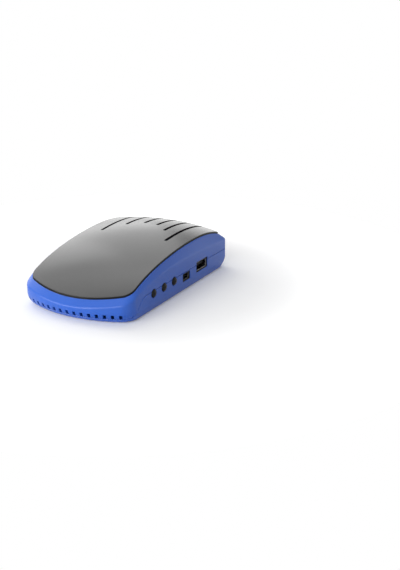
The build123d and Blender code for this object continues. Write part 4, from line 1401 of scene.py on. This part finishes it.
@dataclass
class TopCover:
    """Domed gloss plate with softened edges, its slots and its four pegs."""

    form: CasingForm
    edge: float = 0.16
    peg: tuple[tuple[float, float], ...] = ((1.2, -3.4), (1.5, -3.1), (1.5, 1.0))
    slope_step: float = 0.01
    dome_reach: float = 0.004
    least_agreement: float = 0.985

    def skin(self) -> Surface:
        """Profile carried round the recess: underside, side, rounded edge, dome.

        Returns:
            The closed skin.
        """
        form = self.form
        side_plan = form.recess_plan(form.cover_gap)
        x, y = side_plan[..., 0], side_plan[..., 1]
        low = form.raised(side_plan, form.dome(x, y, form.seat_lift + form.seat_gap))
        corner = form.raised(side_plan, form.dome(x, y, form.cover_proud))
        top_plan = form.recess_plan(form.cover_gap + self.edge)
        top = form.raised(top_plan, form.dome(top_plan[..., 0], top_plan[..., 1], form.cover_proud))
        edge = bend(towards(corner, low, self.edge), corner, top, 7)
        underside = form.rings(low[0], form.seat_lift + form.seat_gap, 14)[::-1]
        return loft(np.concatenate([underside, low, edge, form.rings(top[0], form.cover_proud, 56)]))

    def smooth_dome(self, piece: bpy.types.Object) -> None:
        """Gives every corner on the dome the dome's own normal: less its slopes in x and y, and 1 upwards.

        Args:
            piece: The cover, in metres.
        """
        mesh, form, step = piece.data, self.form, self.slope_step
        count = len(mesh.loops)
        corner = np.empty(count, dtype=np.int32)
        mesh.loops.foreach_get("vertex_index", corner)
        points = np.empty(len(mesh.vertices) * 3)
        mesh.vertices.foreach_get("co", points)
        points = points.reshape(-1, 3)[corner] / MILLIMETRE
        normals = np.empty(count * 3)
        mesh.corner_normals.foreach_get("vector", normals)
        normals = normals.reshape(-1, 3)
        x, y, z = points.T
        slope_x = (form.dome(x + step, y) - form.dome(x - step, y)) / (2 * step)
        slope_y = (form.dome(x, y + step) - form.dome(x, y - step)) / (2 * step)
        exact = np.column_stack([-slope_x, -slope_y, np.ones(count)])
        exact /= np.linalg.norm(exact, axis=1, keepdims=True)
        face_normals = np.empty(len(mesh.polygons) * 3)
        mesh.polygons.foreach_get("normal", face_normals)
        totals = np.empty(len(mesh.polygons), dtype=np.int32)
        mesh.polygons.foreach_get("loop_total", totals)
        flat = np.repeat(face_normals.reshape(-1, 3), totals, axis=0)
        near = np.abs(z - form.dome(x, y, form.cover_proud)) < self.dome_reach
        on_dome = near & ((flat * exact).sum(axis=1) > self.least_agreement)
        mesh.normals_split_custom_set(np.where(on_dome[:, None], exact, normals).tolist())

    def build(self, posts: Posts, slots: CoverSlots) -> bpy.types.Object:
        """Plate with pegs and slots.

        Args:
            posts: Where the pegs stand.
            slots: The air slots.

        Returns:
            The cover in millimetres.
        """
        piece = new_object("gloss_cover", self.skin())
        pegs = []
        for x, y in posts.peg_places:
            seat = float(self.form.dome(np.array(x), np.array(y), self.form.seat_lift))
            profile = [(radius, seat + rise) for radius, rise in self.peg]
            pegs.append(lathe(profile, (x, y), Axis.Z, 32))
        combine(piece, joined(pegs), Cut.ADD)
        combine(piece, slots.cover_tools(), Cut.REMOVE)
        return piece

    def dress(self, dresser: Dresser, posts: Posts, slots: CoverSlots) -> None:
        """Builds the cover, gives it the gloss finish and evens the shading of its dome."""
        self.smooth_dome(dresser.dress(self.build(posts, slots), "cover", "top_cover"))


# Painted shade: a black ring put in the gap round the cover, where the gap reads as a dark shadow line.
@dataclass
class CoverGapShade:
    """Thin black ring that stands in the gap round the cover: painted shade, a dark sheet put where the gap reads as
    shadow.
    """

    form: CasingForm
    outer: float = 0.03
    inner: float = 0.17
    top: float = 0.9
    edge: float = 0.04

    def build(self) -> bpy.types.Object:
        """Carries the ring's section round the recess: up its outer side, over its edge and down inside.

        Returns:
            The seal in millimetres.
        """
        form, foot = self.form, self.form.seat_lift + self.form.seat_gap
        section = [(self.outer, foot), (self.outer, self.top - self.edge), (self.outer + self.edge, self.top)]
        section += [(self.inner - self.edge, self.top), (self.inner, self.top - self.edge), (self.inner, foot)]
        rows = []
        for offset, lift in section:
            plan = form.recess_plan(offset)
            rows.append(form.raised(plan, form.dome(plan[..., 0], plan[..., 1], lift)))
        return new_object("cover_gap_shade", loft(np.concatenate(rows), ring=True))

    def dress(self, dresser: Dresser) -> None:
        """Builds the ring of painted shade and makes it black; it stands for no CAD node."""
        dresser.dress(self.build(), "port_block")


# ------------------------------ side row


@dataclass
class PushButton:
    """Soft domed cap on a flange, behind the wall."""

    name: str
    body: str
    node: str
    y: float
    z: float = 11.5
    radius: float = 2.55
    flange_radius: float = 3.6
    back: float = 35.4
    flange_front: float = 36.3
    tip: float = 39.8
    dome: float = 1.2
    crown: float = 0.42
    bevel: float = 0.1
    fillet: tuple[float, float] = (0.12, 0.15)

    def build(self) -> bpy.types.Object:
        """Cap as a body of revolution: flange, shank, a quarter round and a faintly crowned face.

        Returns:
            The cap in millimetres.
        """
        turn = np.linspace(0, np.pi / 2, 9)
        shoulder, bevel = self.radius - self.dome, self.bevel
        wide, front = self.flange_radius, self.flange_front
        profile = [(wide - bevel, self.back), (wide, self.back + bevel), (wide, front - bevel), (wide - bevel, front)]
        profile += [(self.radius + self.fillet[0], front), (self.radius, front + self.fillet[1])]
        middle = self.tip - self.crown - self.dome
        profile += [(shoulder + self.dome * np.cos(a), middle + self.dome * np.sin(a)) for a in turn]
        profile += [(shoulder * s, self.tip - self.crown * s**2) for s in (0.75, 0.5, 0.25, 0.05)]
        return new_object(self.name, lathe(profile, (self.y, self.z), Axis.X, 56))

    def dress(self, dresser: Dresser) -> None:
        """Builds the cap and gives it the rubber finish, on the body that is pressed."""
        dresser.dress(self.build(), "button_rubber", self.node, body=self.body)


# Painted shade: a black frame put in the gap between a port's opening and its shell, where the gap reads dark.
@dataclass
class PortOpeningShade:
    """Soft-edged black frame behind the right side wall, between a port's opening and its shell: painted shade, a dark
    sheet that makes the gap read as shadow.
    """

    name: str
    centre: tuple[float, float]
    outer: tuple[float, float]
    inner: tuple[float, float]
    back: float = 36.6
    front: float = 38.1
    corner: float = 0.7

    def build(self) -> bpy.types.Object:
        """Outline drawn in from the opening's size to the shell's, carried along the wall's thickness.

        Returns:
            The frame in millimetres.
        """
        outer, inner, back, front = self.outer, self.inner, self.back, self.front
        rows = [(outer, -0.02, back), (outer, -0.02, front - 0.06), (outer, -0.08, front)]
        rows += [(inner, 0.2, front), (inner, 0.03, front - 0.12), (inner, 0.03, back)]
        loops = []
        for (width, height), grow, x in rows:
            outline = rounded(rectangle(width + 2 * grow, height + 2 * grow), self.corner)
            across, up = self.centre[0] + outline[:, 0], self.centre[1] + outline[:, 1]
            loops.append(place(across, up, np.array(x), Axis.X))
        return new_object(self.name, loft(np.array(loops), ring=True))

    def dress(self, dresser: Dresser) -> None:
        """Builds the frame of painted shade and makes it black; it stands for no CAD node."""
        dresser.dress(self.build(), "port_block")


@dataclass
class LargePort:
    """Sheet shell with a rounded lip, four spring leaves and legs, round a black tongue."""

    y: float = 24.85
    z: float = 11.5
    back: float = 23.7
    face: float = 37.7
    width: float = 13.2
    height: float = 5.8
    sheet: float = 0.35
    board_top: float = 7.8
    tongue_size: tuple[float, float, float] = (11.0, 1.8, 8.4)
    block_depth: float = 4.2
    leaf_size: tuple[float, float] = (1.7, 0.16)
    leaf_length: float = 5.4
    leaf_setback: float = 0.6
    leaf_bow: float = 0.42
    leaf_spread: float = 3.1
    leg_places: tuple[float, float] = (25.1, 33.1)
    leg_reach: float = 0.7

    def leaf(self, y: float, side: int) -> Surface:
        """Spring leaf: a thin rectangle carried inwards from the mouth, bowed into it by a half sine.

        Args:
            y: Its place across.
            side: 1 for the upper leaves, -1 for the lower.

        Returns:
            The leaf.
        """
        share = np.linspace(0, 1, 10)
        corners = rounded(rectangle(*self.leaf_size), 0.04, 2)
        x = self.face - self.leaf_setback - self.leaf_length * (1 - share)
        inside = self.z + side * (self.height / 2 - self.sheet - 0.02)
        bow = inside - side * self.leaf_bow * np.sin(np.pi * share)
        loops = place(y + corners[None, :, 0], bow[:, None] + corners[None, :, 1], x[:, None], Axis.X)
        return loft(loops)

    def shell(self) -> bpy.types.Object:
        """Folded sheet, its lip rounded over, with leaves and legs.

        Returns:
            The shell in millimetres.
        """
        s = self.sheet
        levels = [(0.0, self.back), (0.0, self.face - 0.25), (0.04, self.face - 0.07), (0.12, self.face)]
        levels += [(s - 0.1, self.face), (s, self.face - 0.15), (s, self.back)]
        parts = [prism(rectangle(self.width, self.height), levels, (self.y, self.z), Axis.X, 0.7, ring=True)]
        shifts = (-self.leaf_spread, self.leaf_spread)
        parts += [self.leaf(self.y + shift, side) for side in (-1, 1) for shift in shifts]
        for side in (-1, 1):
            for x in self.leg_places:
                middle = self.y + side * (self.width - s) / 2
                low = np.array([x - self.leg_reach, middle - s / 2, self.board_top])
                high = np.array([x + self.leg_reach, middle + s / 2, self.z - self.height / 4])
                parts.append(box_between(low, high, 0.05))
        return new_object("usb_port_shell", joined(parts))

    def tongue(self) -> bpy.types.Object:
        """Rear block and the tongue that stands out of it, with a bevelled nose.

        Returns:
            The tongue in millimetres.
        """
        width, thickness, depth = self.tongue_size
        start = self.back + self.block_depth
        block = rectangle(self.width - 2 * self.sheet - 0.1, self.height - 2 * self.sheet - 0.1)
        parts = [prism(block, [(0, self.back), (0, start - 0.1), (0.1, start)], (self.y, self.z), Axis.X, 0.35)]
        levels = [(0, start - 0.05), (0, start + depth - 0.5), (0.12, start + depth - 0.2), (0.4, start + depth)]
        parts.append(prism(rectangle(width, thickness), levels, (self.y, self.z + thickness / 4), Axis.X, 0.12))
        return new_object("usb_port_tongue", joined(parts))

    def dress(self, dresser: Dresser) -> None:
        """Builds the shell in tinned sheet darkened as painted shade, and the tongue in black."""
        dresser.dress(self.shell(), "port_shell", "usb_shell")
        dresser.dress(self.tongue(), "port_block", "usb_tongue")


@dataclass
class KeyedPort:
    """Small sheet-metal port whose lower corners are cut off, with its block and tongue."""

    name: str
    shell_node: str
    tongue_node: str
    centre: tuple[float, float]
    axis: Axis
    size: tuple[float, float]
    cut: float
    back: float
    face: float
    block_depth: float
    tongue_size: tuple[float, float, float]
    sheet: float = 0.35
    corner: float = 0.35

    def outline(self) -> np.ndarray:
        """Rectangle with its two lower corners cut, in the axis's own (across, up).

        Returns:
            Its corners, counter-clockwise.
        """
        width, height = self.size
        w, h, c = width / 2, height / 2, self.cut
        flat = np.array([(-w + c, -h), (w - c, -h), (w, -h + c), (w, h), (-w, h), (-w, -h + c)])
        if self.axis is Axis.Y:
            flat = flat[::-1, ::-1]
        return flat

    def shell(self) -> bpy.types.Object:
        """Folded sheet with a rounded lip.

        Returns:
            The shell in millimetres.
        """
        s = self.sheet
        levels = [(0.0, self.back), (0.0, self.face - 0.2), (0.04, self.face - 0.06), (0.11, self.face)]
        levels += [(s - 0.09, self.face), (s, self.face - 0.13), (s, self.back)]
        folded = prism(self.outline(), levels, self.centre, self.axis, self.corner, ring=True)
        return new_object(f"{self.name}_shell", folded)

    def tongue(self) -> bpy.types.Object:
        """Block that fills the shell's rear, and the tongue with its bevelled nose.

        Returns:
            The tongue in millimetres.
        """
        gap = self.sheet + 0.05
        start = self.back + self.block_depth
        levels = [(gap, self.back), (gap, start - 0.1), (gap + 0.1, start)]
        parts = [prism(self.outline(), levels, self.centre, self.axis, 0.3)]
        width, thickness, depth = self.tongue_size
        flat = rectangle(thickness, width) if self.axis is Axis.Y else rectangle(width, thickness)
        levels = [(0, start - 0.05), (0, start + depth - 0.4), (0.1, start + depth - 0.15), (0.3, start + depth)]
        parts.append(prism(flat, levels, self.centre, self.axis, 0.1))
        return new_object(f"{self.name}_tongue", joined(parts))

    def dress(self, dresser: Dresser) -> None:
        """Builds the shell in tinned sheet darkened as painted shade, and the tongue in black."""
        dresser.dress(self.shell(), "port_shell", self.shell_node)
        dresser.dress(self.tongue(), "port_block", self.tongue_node)


# ------------------------------ rear sockets


@dataclass
class SoundSocket:
    """Block with a round nose, a blind bore and a bright sleeve in its mouth."""

    x: float = 13.5
    z: float = 10.9
    low: tuple[float, float, float] = (10.0, 46.33, 7.8)
    high: tuple[float, float, float] = (17.0, 60.33, 14.0)
    nose: float = 62.166
    nose_radius: float = 3.0
    bore: float = 1.8
    bore_depth: float = 14.5
    seat: float = 2.35
    sleeve_length: float = 2.0
    sink: float = 0.5
    bevel: float = 0.2

    def housing(self) -> bpy.types.Object:
        """Bevelled block joined to its nose, then bored.

        Returns:
            The housing in millimetres.
        """
        piece = new_object("sound_socket_housing", box_between(np.array(self.low), np.array(self.high), self.bevel))
        wide, front = self.nose_radius, self.nose
        nose = [(wide, self.high[1] - self.sink), (wide, front - self.bevel), (wide - self.bevel, front)]
        combine(piece, lathe(nose, (self.z, self.x), Axis.Y, 56), Cut.ADD)
        bore = [(self.bore, self.nose - self.bore_depth), (self.bore, self.nose - self.sleeve_length)]
        bore += [(self.seat, self.nose - self.sleeve_length), (self.seat, self.nose + 1.0)]
        combine(piece, lathe(bore, (self.z, self.x), Axis.Y, 48), Cut.REMOVE)
        return piece

    def sleeve(self) -> bpy.types.Object:
        """Short tube with a countersunk mouth.

        Returns:
            The sleeve in millimetres.
        """
        back, outer = self.nose - self.sleeve_length, self.seat - 0.05
        profile = [(self.bore, back), (outer, back), (outer, self.nose - 0.05), (outer - 0.08, self.nose)]
        profile += [(self.bore + 0.25, self.nose), (self.bore, self.nose - 0.25)]
        return new_object("sound_socket_ring", lathe(profile, (self.z, self.x), Axis.Y, 56, ring=True))

    def dress(self, dresser: Dresser) -> None:
        """Builds the housing in black and the sleeve in nickel."""
        dresser.dress(self.housing(), "port_block", "sound_socket_body")
        dresser.dress(self.sleeve(), "socket_nickel", "sound_socket_sleeve")


@dataclass
class PowerSocket:
    """Block with a round nose and a deep bore round a bright pin."""

    x: float = 24.5
    z: float = 14.0
    low: tuple[float, float, float] = (20.0, 45.64, 7.8)
    high: tuple[float, float, float] = (29.0, 59.14, 18.4)
    nose: float = 61.014
    nose_radius: float = 3.9
    bore: float = 3.1
    bore_depth: float = 9.5
    pin_radius: float = 1.0
    pin_length: float = 8.6
    pin_round: float = 0.5
    sink: float = 0.5
    bevel: float = 0.2
    block_bevel: float = 0.25
    mouth: tuple[float, float] = (1.2, 1.0)

    def housing(self) -> bpy.types.Object:
        """Bevelled block joined to its nose, then bored with a countersunk mouth.

        Returns:
            The housing in millimetres.
        """
        block = box_between(np.array(self.low), np.array(self.high), self.block_bevel)
        piece = new_object("power_socket_housing", block)
        wide, front = self.nose_radius, self.nose
        nose = [(wide, self.high[1] - self.sink), (wide, front - self.bevel), (wide - self.bevel, front)]
        combine(piece, lathe(nose, (self.z, self.x), Axis.Y, 64), Cut.ADD)
        bore = [(self.bore, front - self.bore_depth), (self.bore, front - self.bevel)]
        bore.append((self.bore + self.mouth[0], front + self.mouth[1]))
        combine(piece, lathe(bore, (self.z, self.x), Axis.Y, 56), Cut.REMOVE)
        return piece

    def pin(self) -> bpy.types.Object:
        """Pin with a quarter-round end.

        Returns:
            The pin in millimetres.
        """
        start = self.nose - self.bore_depth
        end = start + self.pin_length
        turn = np.linspace(0, np.pi / 2, 8)[:-1]
        soft, core = self.pin_round, self.pin_radius - self.pin_round
        profile = [(self.pin_radius, start)]
        profile += [(core + soft * np.cos(a), end - soft + soft * np.sin(a)) for a in turn]
        profile += [(0.45, end), (0.05, end)]
        return new_object("power_socket_centre", lathe(profile, (self.z, self.x), Axis.Y, 40))

    def dress(self, dresser: Dresser) -> None:
        """Builds the housing in black and the pin in nickel."""
        dresser.dress(self.housing(), "port_block", "power_socket_body")
        dresser.dress(self.pin(), "socket_nickel", "power_socket_pin")


@dataclass
class AerialSocket:
    """Threaded barrel with a milky insulator and a gilded contact in its bore."""

    x: float = -18.0
    z: float = 13.0
    back: float = 57.65
    neck: float = 4.4
    thread_start: float = 62.904
    tip: float = 71.75
    crest: float = 4.7
    root: float = 4.32
    pitch: float = 0.794
    bore: float = 3.2
    insulator_end: float = 68.55
    contact_back: float = 50.9
    contact_step: float = 62.15
    contact_end: float = 67.45
    contact_radii: tuple[float, float, float] = (0.3, 0.55, 0.75)
    bevel: float = 0.3
    fade: float = 0.5
    columns: int = 72
    rows: int = 130
    hard_angle: float = 45.0

    def barrel(self) -> bpy.types.Object:
        """Screw thread on a grid of angle and length.

        The radius is the root plus the thread's height times a clipped triangle of the phase,
        length over pitch less angle over a full turn, faded out at both ends.

        Returns:
            The barrel in millimetres.
        """
        turn = circle(self.columns)
        angle = np.arange(self.columns) / self.columns
        start, end = self.thread_start, self.tip - self.bevel
        along = np.linspace(start, end, self.rows)[:, None]
        phase = ((along / self.pitch) - angle[None]) % 1.0
        tooth = np.clip(1.3 - np.abs(phase - 0.5) * 3.2, 0.0, 1.0)
        fade = np.clip((along - start) / self.fade, 0, 1) * np.clip((end - along) / self.fade, 0, 1)
        radius = self.root + (self.crest - self.root) * tooth * fade

        def row(size: float, distance: float) -> np.ndarray:
            """One plain round loop."""
            return place(self.z + size * turn[:, 0], self.x + size * turn[:, 1], np.array(distance), Axis.Y)[None]

        threads = place(self.z + radius * turn[None, :, 0], self.x + radius * turn[None, :, 1], along, Axis.Y)
        loops = [row(self.bore, self.back), row(self.neck, self.back), row(self.neck, start - 0.2), threads]
        loops += [row(self.root - self.bevel, self.tip), row(self.bore + 0.2, self.tip), row(self.bore, self.tip - 0.2)]
        return new_object("aerial_barrel", loft(np.concatenate(loops), ring=True))

    def insulator(self) -> bpy.types.Object:
        """Tube with a dished face round the contact's hole.

        Returns:
            The insulator in millimetres.
        """
        end, outer = self.insulator_end, self.bore - 0.05
        profile = [(0.8, self.back), (outer, self.back), (outer, end - 0.1), (self.bore - 0.15, end)]
        profile += [(1.9, end), (1.6, end - 0.25), (0.8, end - 0.25)]
        return new_object("aerial_core", lathe(profile, (self.z, self.x), Axis.Y, 56, ring=True))

    def contact(self) -> bpy.types.Object:
        """Thin split tube behind the insulator's face.

        Returns:
            The contact in millimetres.
        """
        start, step, end = self.contact_back, self.contact_step, self.contact_end
        narrow, bore, outer = self.contact_radii
        profile = [(bore, step), (bore, end), (outer, end), (outer, start), (narrow, start), (narrow, step)]
        return new_object("aerial_pin_clip", lathe(profile[::-1], (self.z, self.x), Axis.Y, 32, ring=True))

    def dress(self, dresser: Dresser) -> None:
        """Builds the barrel in nickel, the insulator in milky plastic and the contact in gilt.

        Args:
            dresser: Gives their finishes.
        """
        dresser.dress(self.barrel(), "socket_nickel", "aerial_socket", angle=self.hard_angle)
        dresser.dress(self.insulator(), "insulator", "aerial_insulator")
        dresser.dress(self.contact(), "contact", "aerial_contact")


# ------------------------------ underside


@dataclass
class Underside:
    """Screws in their wells and soft pads in their recesses."""

    posts: Posts
    head_low: float = 0.9
    head_high: float = 2.7
    head_radius: float = 2.5
    shank: float = 1.3
    tip: float = 12.7
    socket_flat: float = 1.126
    socket_floor: float = 1.8
    columns: int = 48
    pad: tuple[tuple[float, float], ...] = (
        (0.2, 0.12), (2.2, 0.12), (2.5, 0.0), (3.9, 0.0), (4.25, 0.08), (4.5, 0.35), (4.5, 1.1),
    )

    def screw(self, x: float, y: float) -> Surface:
        """Pan head with a hexagon socket.

        The hexagon's radius is the distance to its flat over the cosine of the angle from the flat.

        Args:
            x: Place across.
            y: Place along.

        Returns:
            The screw.
        """
        count = self.columns
        turn = circle(count)
        angle = np.mod(2 * np.pi * np.arange(count) / count, np.pi / 3) - np.pi / 6
        hexagon = self.socket_flat / np.cos(angle)
        one = np.ones(count)
        low, high, floor, wide = self.head_low, self.head_high, self.socket_floor, self.head_radius * one
        rows = [(hexagon * 0.05, floor), (hexagon * 0.9, floor), (hexagon, 1.75), (hexagon, 1.0), (hexagon + 0.1, low)]
        rows += [(2.1 * one, low), (2.38 * one, 1.0), (wide, 1.3), (wide, high)]
        rows += [(self.shank * one, high), (self.shank * one, self.tip - 0.8), (0.7 * one, self.tip)]
        loops = [
            np.column_stack([x + radius * turn[:, 0], y + radius * turn[:, 1], np.full(count, height)])
            for radius, height in rows
        ]
        return loft(np.array(loops))

    def screws(self) -> bpy.types.Object:
        """All four case screws."""
        return new_object("case_screw_set", joined([self.screw(x, y) for x, y in self.posts.case_places]))

    def feet(self) -> bpy.types.Object:
        """Round pads with a soft lower edge and a shallow ring in the face."""
        return new_object("foot_pads", joined([lathe(self.pad, spot, Axis.Z, 56) for spot in self.posts.foot_places]))

    def dress(self, dresser: Dresser) -> None:
        """Builds the screws in zinc and the pads in rubber."""
        dresser.dress(self.screws(), "screw_steel", "case_screws")
        dresser.dress(self.feet(), "foot_rubber", "feet")


# ------------------------------ studio


@dataclass(frozen=True)
class SoftLamp:
    """Rectangular soft lamp aimed at the object.

    Its bearing is the angle from the rear towards the right, the height angle, both in degrees,
    and the distance. Its radiance is how bright its face is, where 1 is white.
    """

    name: str
    bearing: tuple[float, float, float]
    size: tuple[float, float]
    radiance: float

    def build(self) -> None:
        """Makes the lamp, whose power is its radiance times pi times its area."""
        turn, lift, away = np.radians(self.bearing[0]), np.radians(self.bearing[1]), self.bearing[2]
        spot = away * np.array([np.sin(turn) * np.cos(lift), np.cos(turn) * np.cos(lift), np.sin(lift)])
        data = bpy.data.lights.new(self.name, "AREA")
        data.shape, data.size, data.size_y = "RECTANGLE", self.size[0], self.size[1]
        data.energy = self.radiance * np.pi * self.size[0] * self.size[1]
        lamp = bpy.data.objects.new(self.name, data)
        lamp.visible_camera = False
        back = spot / away
        right = np.cross([0.0, 0.0, 1.0], back)
        right /= np.linalg.norm(right)
        lamp.matrix_world = frame_matrix(right, np.cross(back, right), back, spot)
        bpy.context.scene.collection.objects.link(lamp)


def frame_matrix(right: np.ndarray, up: np.ndarray, back: np.ndarray, spot: np.ndarray) -> Matrix:
    """Placing matrix whose columns are an object's three axes and its place.

    Args:
        right: The object's x axis.
        up: Its y axis.
        back: Its z axis, away from where it looks.
        spot: Where it stands.

    Returns:
        The matrix.
    """
    matrix = np.eye(4)
    matrix[:3, 0], matrix[:3, 1], matrix[:3, 2], matrix[:3, 3] = right, up, back, spot
    return Matrix(matrix.tolist())


LAMPS = (
    SoftLamp("left softbox", (-58.0, 40.0, 1.0), (1.08, 1.0), 1.1),
    SoftLamp("left softbox core", (-74.0, 28.0, 1.02), (1.05, 0.6), 1.0),
    SoftLamp("overhead softbox", (-50.0, 76.0, 1.0), (1.1, 1.0), 0.7),
    SoftLamp("rear strip", (-30.0, 10.0, 1.2), (0.95, 0.54), 0.8),
    SoftLamp("front softbox", (176.0, 28.0, 1.2), (1.2, 0.8), 3.0),
    SoftLamp("low front fill", (-146.0, 11.0, 1.2), (1.0, 0.55), 3.7),
)


@dataclass
class Studio:
    """Pale floor, soft lamps, white surroundings and the camera, in metres and degrees.

    The lens is the focal length in picture points times the sensor's size over the picture's.
    """

    focal: float = 976.2
    picture: float = 570.0
    sensor: float = 36.0
    distance: float = 0.6317
    azimuth: float = 33.14
    elevation: float = 20.28
    yaw: float = 28.59
    pitch: float = 20.31
    target_y: float = -0.00556
    surround: float = 0.25
    floor_colour: float = 0.87
    floor_glow: float = 0.12
    floor_rings: tuple[float, ...] = (0.05, 0.09, 0.13, 0.17, 0.22)
    floor_columns: int = 96
    floor_mottle: float = 0.008
    glow_reach: tuple[float, float] = (0.08, 0.215)

    def camera(self) -> None:
        """Camera from its bearing about the object and its own yaw and pitch."""
        turn, lift = np.radians(self.azimuth), np.radians(self.elevation)
        spot = self.distance * np.array([np.sin(turn) * np.cos(lift), -np.cos(turn) * np.cos(lift), np.sin(lift)])
        spot[1] += self.target_y
        yaw, pitch = np.radians(self.yaw), np.radians(self.pitch)
        back = np.array([np.sin(yaw) * np.cos(pitch), -np.cos(yaw) * np.cos(pitch), np.sin(pitch)])
        right = np.array([np.cos(yaw), np.sin(yaw), 0.0])
        up = np.cross(back, right)
        data = bpy.data.cameras.new("camera")
        data.lens, data.sensor_width = self.focal * self.sensor / self.picture, self.sensor
        data.clip_start, data.clip_end = 0.01, 50.0
        camera = bpy.data.objects.new("camera", data)
        camera.matrix_world = frame_matrix(right, up, back, spot)
        bpy.context.scene.collection.objects.link(camera)
        bpy.context.scene.camera = camera

    def seen(self, tools: NodeTools) -> bpy.types.NodeSocket:
        """Mask of what the eye sees straight, mirrored or through glass: the largest of three ray kinds.

        Args:
            tools: The tree that gets the nodes.

        Returns:
            1 for camera, glossy and transmitted rays, 0 for others.
        """
        path = tools.add("ShaderNodeLightPath").outputs
        mirrored = tools.math("MAXIMUM", path["Is Camera Ray"], path["Is Glossy Ray"])
        return tools.math("MAXIMUM", mirrored, path["Is Transmission Ray"])

    def world(self) -> None:
        """Even light for the object, and white wherever it is seen, mirrored or looked at through glass."""
        world = bpy.data.worlds.new("studio")
        bpy.context.scene.world = world
        world.use_nodes = True
        tools = NodeTools(world.node_tree)
        world.node_tree.nodes.clear()
        strength = tools.math("MAXIMUM", self.seen(tools), self.surround)
        background = tools.add("ShaderNodeBackground")
        background.inputs["Color"].default_value = (1.0, 1.0, 1.0, 1.0)
        tools.link(strength, background.inputs["Strength"])
        tools.link(background.outputs[0], tools.add("ShaderNodeOutputWorld").inputs["Surface"])

    def floor(self) -> None:
        """Pale round floor with a faint mottle, which keeps the shadow and fades to white far off."""
        turn = circle(self.floor_columns)
        size = np.array(self.floor_rings)[:, None]
        flat = loft(place(size * turn[None, :, 0], size * turn[None, :, 1], np.zeros(1), Axis.Z))
        first_centre = len(self.floor_rings) * self.floor_columns
        keep = [face for face in flat.faces if len(face) == 4 or face[0] == first_centre]
        surface = Surface(flat.points, [face[::-1] for face in keep])
        floor = new_object("floor", surface)
        material = bpy.data.materials.new("Pale paper")
        material.use_nodes = True
        tools = NodeTools(material.node_tree)
        shader = material.node_tree.nodes["Principled BSDF"]
        mottle = tools.spread(tools.noise(tools.object_place(), 60.0, 3.0), 0.3, 0.7, 0.0, 1.0)
        pale, paler = self.floor_colour - self.floor_mottle, self.floor_colour
        tools.link(tools.mix(mottle, (pale, pale, pale, 1), (paler, paler, paler, 1)), shader.inputs["Base Color"])
        shader.inputs["Roughness"].default_value = 0.9
        shader.inputs["Specular IOR Level"].default_value = 0.1
        length = tools.add("ShaderNodeVectorMath", operation="LENGTH")
        tools.link(tools.object_place(), length.inputs[0])
        glow = tools.spread(length.outputs["Value"], *self.glow_reach, self.floor_glow, 1.0)
        tools.link(tools.math("MULTIPLY", glow, self.seen(tools)), shader.inputs["Emission Strength"])
        shader.inputs["Emission Color"].default_value = (1.0, 1.0, 1.0, 1.0)
        floor.data.materials.append(material)

    def build(self) -> None:
        """Sets the whole studio and the view transform."""
        self.camera()
        self.world()
        self.floor()
        for lamp in LAMPS:
            lamp.build()
        bpy.context.scene.view_settings.view_transform = "Standard"
        LOG.info("studio: camera, surroundings, floor and %d lamps", len(LAMPS))


# ------------------------------ the whole receiver


@dataclass
class Receiver:
    """Builds and dresses every sub-assembly in order."""

    dresser: Dresser
    form: CasingForm

    def kept_nodes(self) -> None:
        """Gives every CAD node that stays the finish of its own slot."""
        for part in frame["record"]["subparts"]:
            node = frame["nodes"][part["node"]]
            for holder in node.material_slots:
                holder.link = "OBJECT"
                holder.material = self.dresser.materials[part["material_slot"]]

    def casing(self) -> None:
        """Both shells, the cover with the black ring of painted shade in its gap, and the screws and pads of the
        underside.
        """
        posts, slots = Posts(self.form), CoverSlots(self.form)
        openings = [SideOpenings(self.form).tools(), RearOpenings(self.form).tools()]
        UpperShell(self.form).dress(self.dresser, posts, slots, openings, FrontNotches(self.form).tools())
        LowerShell(self.form).dress(self.dresser, posts, openings)
        TopCover(self.form).dress(self.dresser, posts, slots)
        # Black ring of painted shade in the cover's gap.
        CoverGapShade(self.form).dress(self.dresser)
        Underside(posts).dress(self.dresser)

    def side_row(self) -> None:
        """Buttons and the two ports of the right side, with black frames of painted shade in the ports' openings."""
        openings, large = SideOpenings(self.form), LargePort()
        for where, y in zip(("front", "middle", "rear"), openings.buttons):
            PushButton(f"button_cap_{where}", f"{where}_button", f"button_{where}", y).dress(self.dresser)
        large.dress(self.dresser)
        small = KeyedPort(
            "small_port", "mini_port_shell", "mini_port_tongue", openings.small_port[:2], Axis.X, size=(7.7, 4.0),
            cut=0.9, back=28.6, face=37.6, block_depth=3.0, tongue_size=(3.8, 1.0, 5.0),
        )
        large_size = (large.width, large.height)
        ports = (("usb_port", openings.large_port, large_size), ("small_port", openings.small_port, small.size))
        # Black frames of painted shade in the gaps round the two side ports.
        for name, port, size in ports:
            PortOpeningShade(f"{name}_opening_shade", port[:2], port[2:], size).dress(self.dresser)
        small.dress(self.dresser)

    def rear_row(self) -> None:
        """Screen, sound, power and aerial sockets."""
        screen = KeyedPort(
            "screen_port", "hdmi_shell", "hdmi_tongue", (10.9, 0.0), Axis.Y, size=(15.0, 5.6),
            cut=1.867, back=51.25, face=62.75, block_depth=2.25, tongue_size=(11.0, 1.4, 7.0),
        )
        screen.dress(self.dresser)
        SoundSocket().dress(self.dresser)
        PowerSocket().dress(self.dresser)
        AerialSocket().dress(self.dresser)


def main() -> None:
    """Builds the receiver and its studio in order."""
    logging.basicConfig(level=logging.INFO, format="%(name)s: %(message)s")
    effects = Effects()
    materials = {slot: finish.build(effects) for slot, finish in FINISHES.items()}
    LOG.info("finishes: %d", len(materials))
    receiver = Receiver(Dresser(materials), CasingForm())
    receiver.kept_nodes()
    receiver.casing()
    receiver.side_row()
    receiver.rear_row()
    Studio().build()


if __name__ == "__main__":
    main()
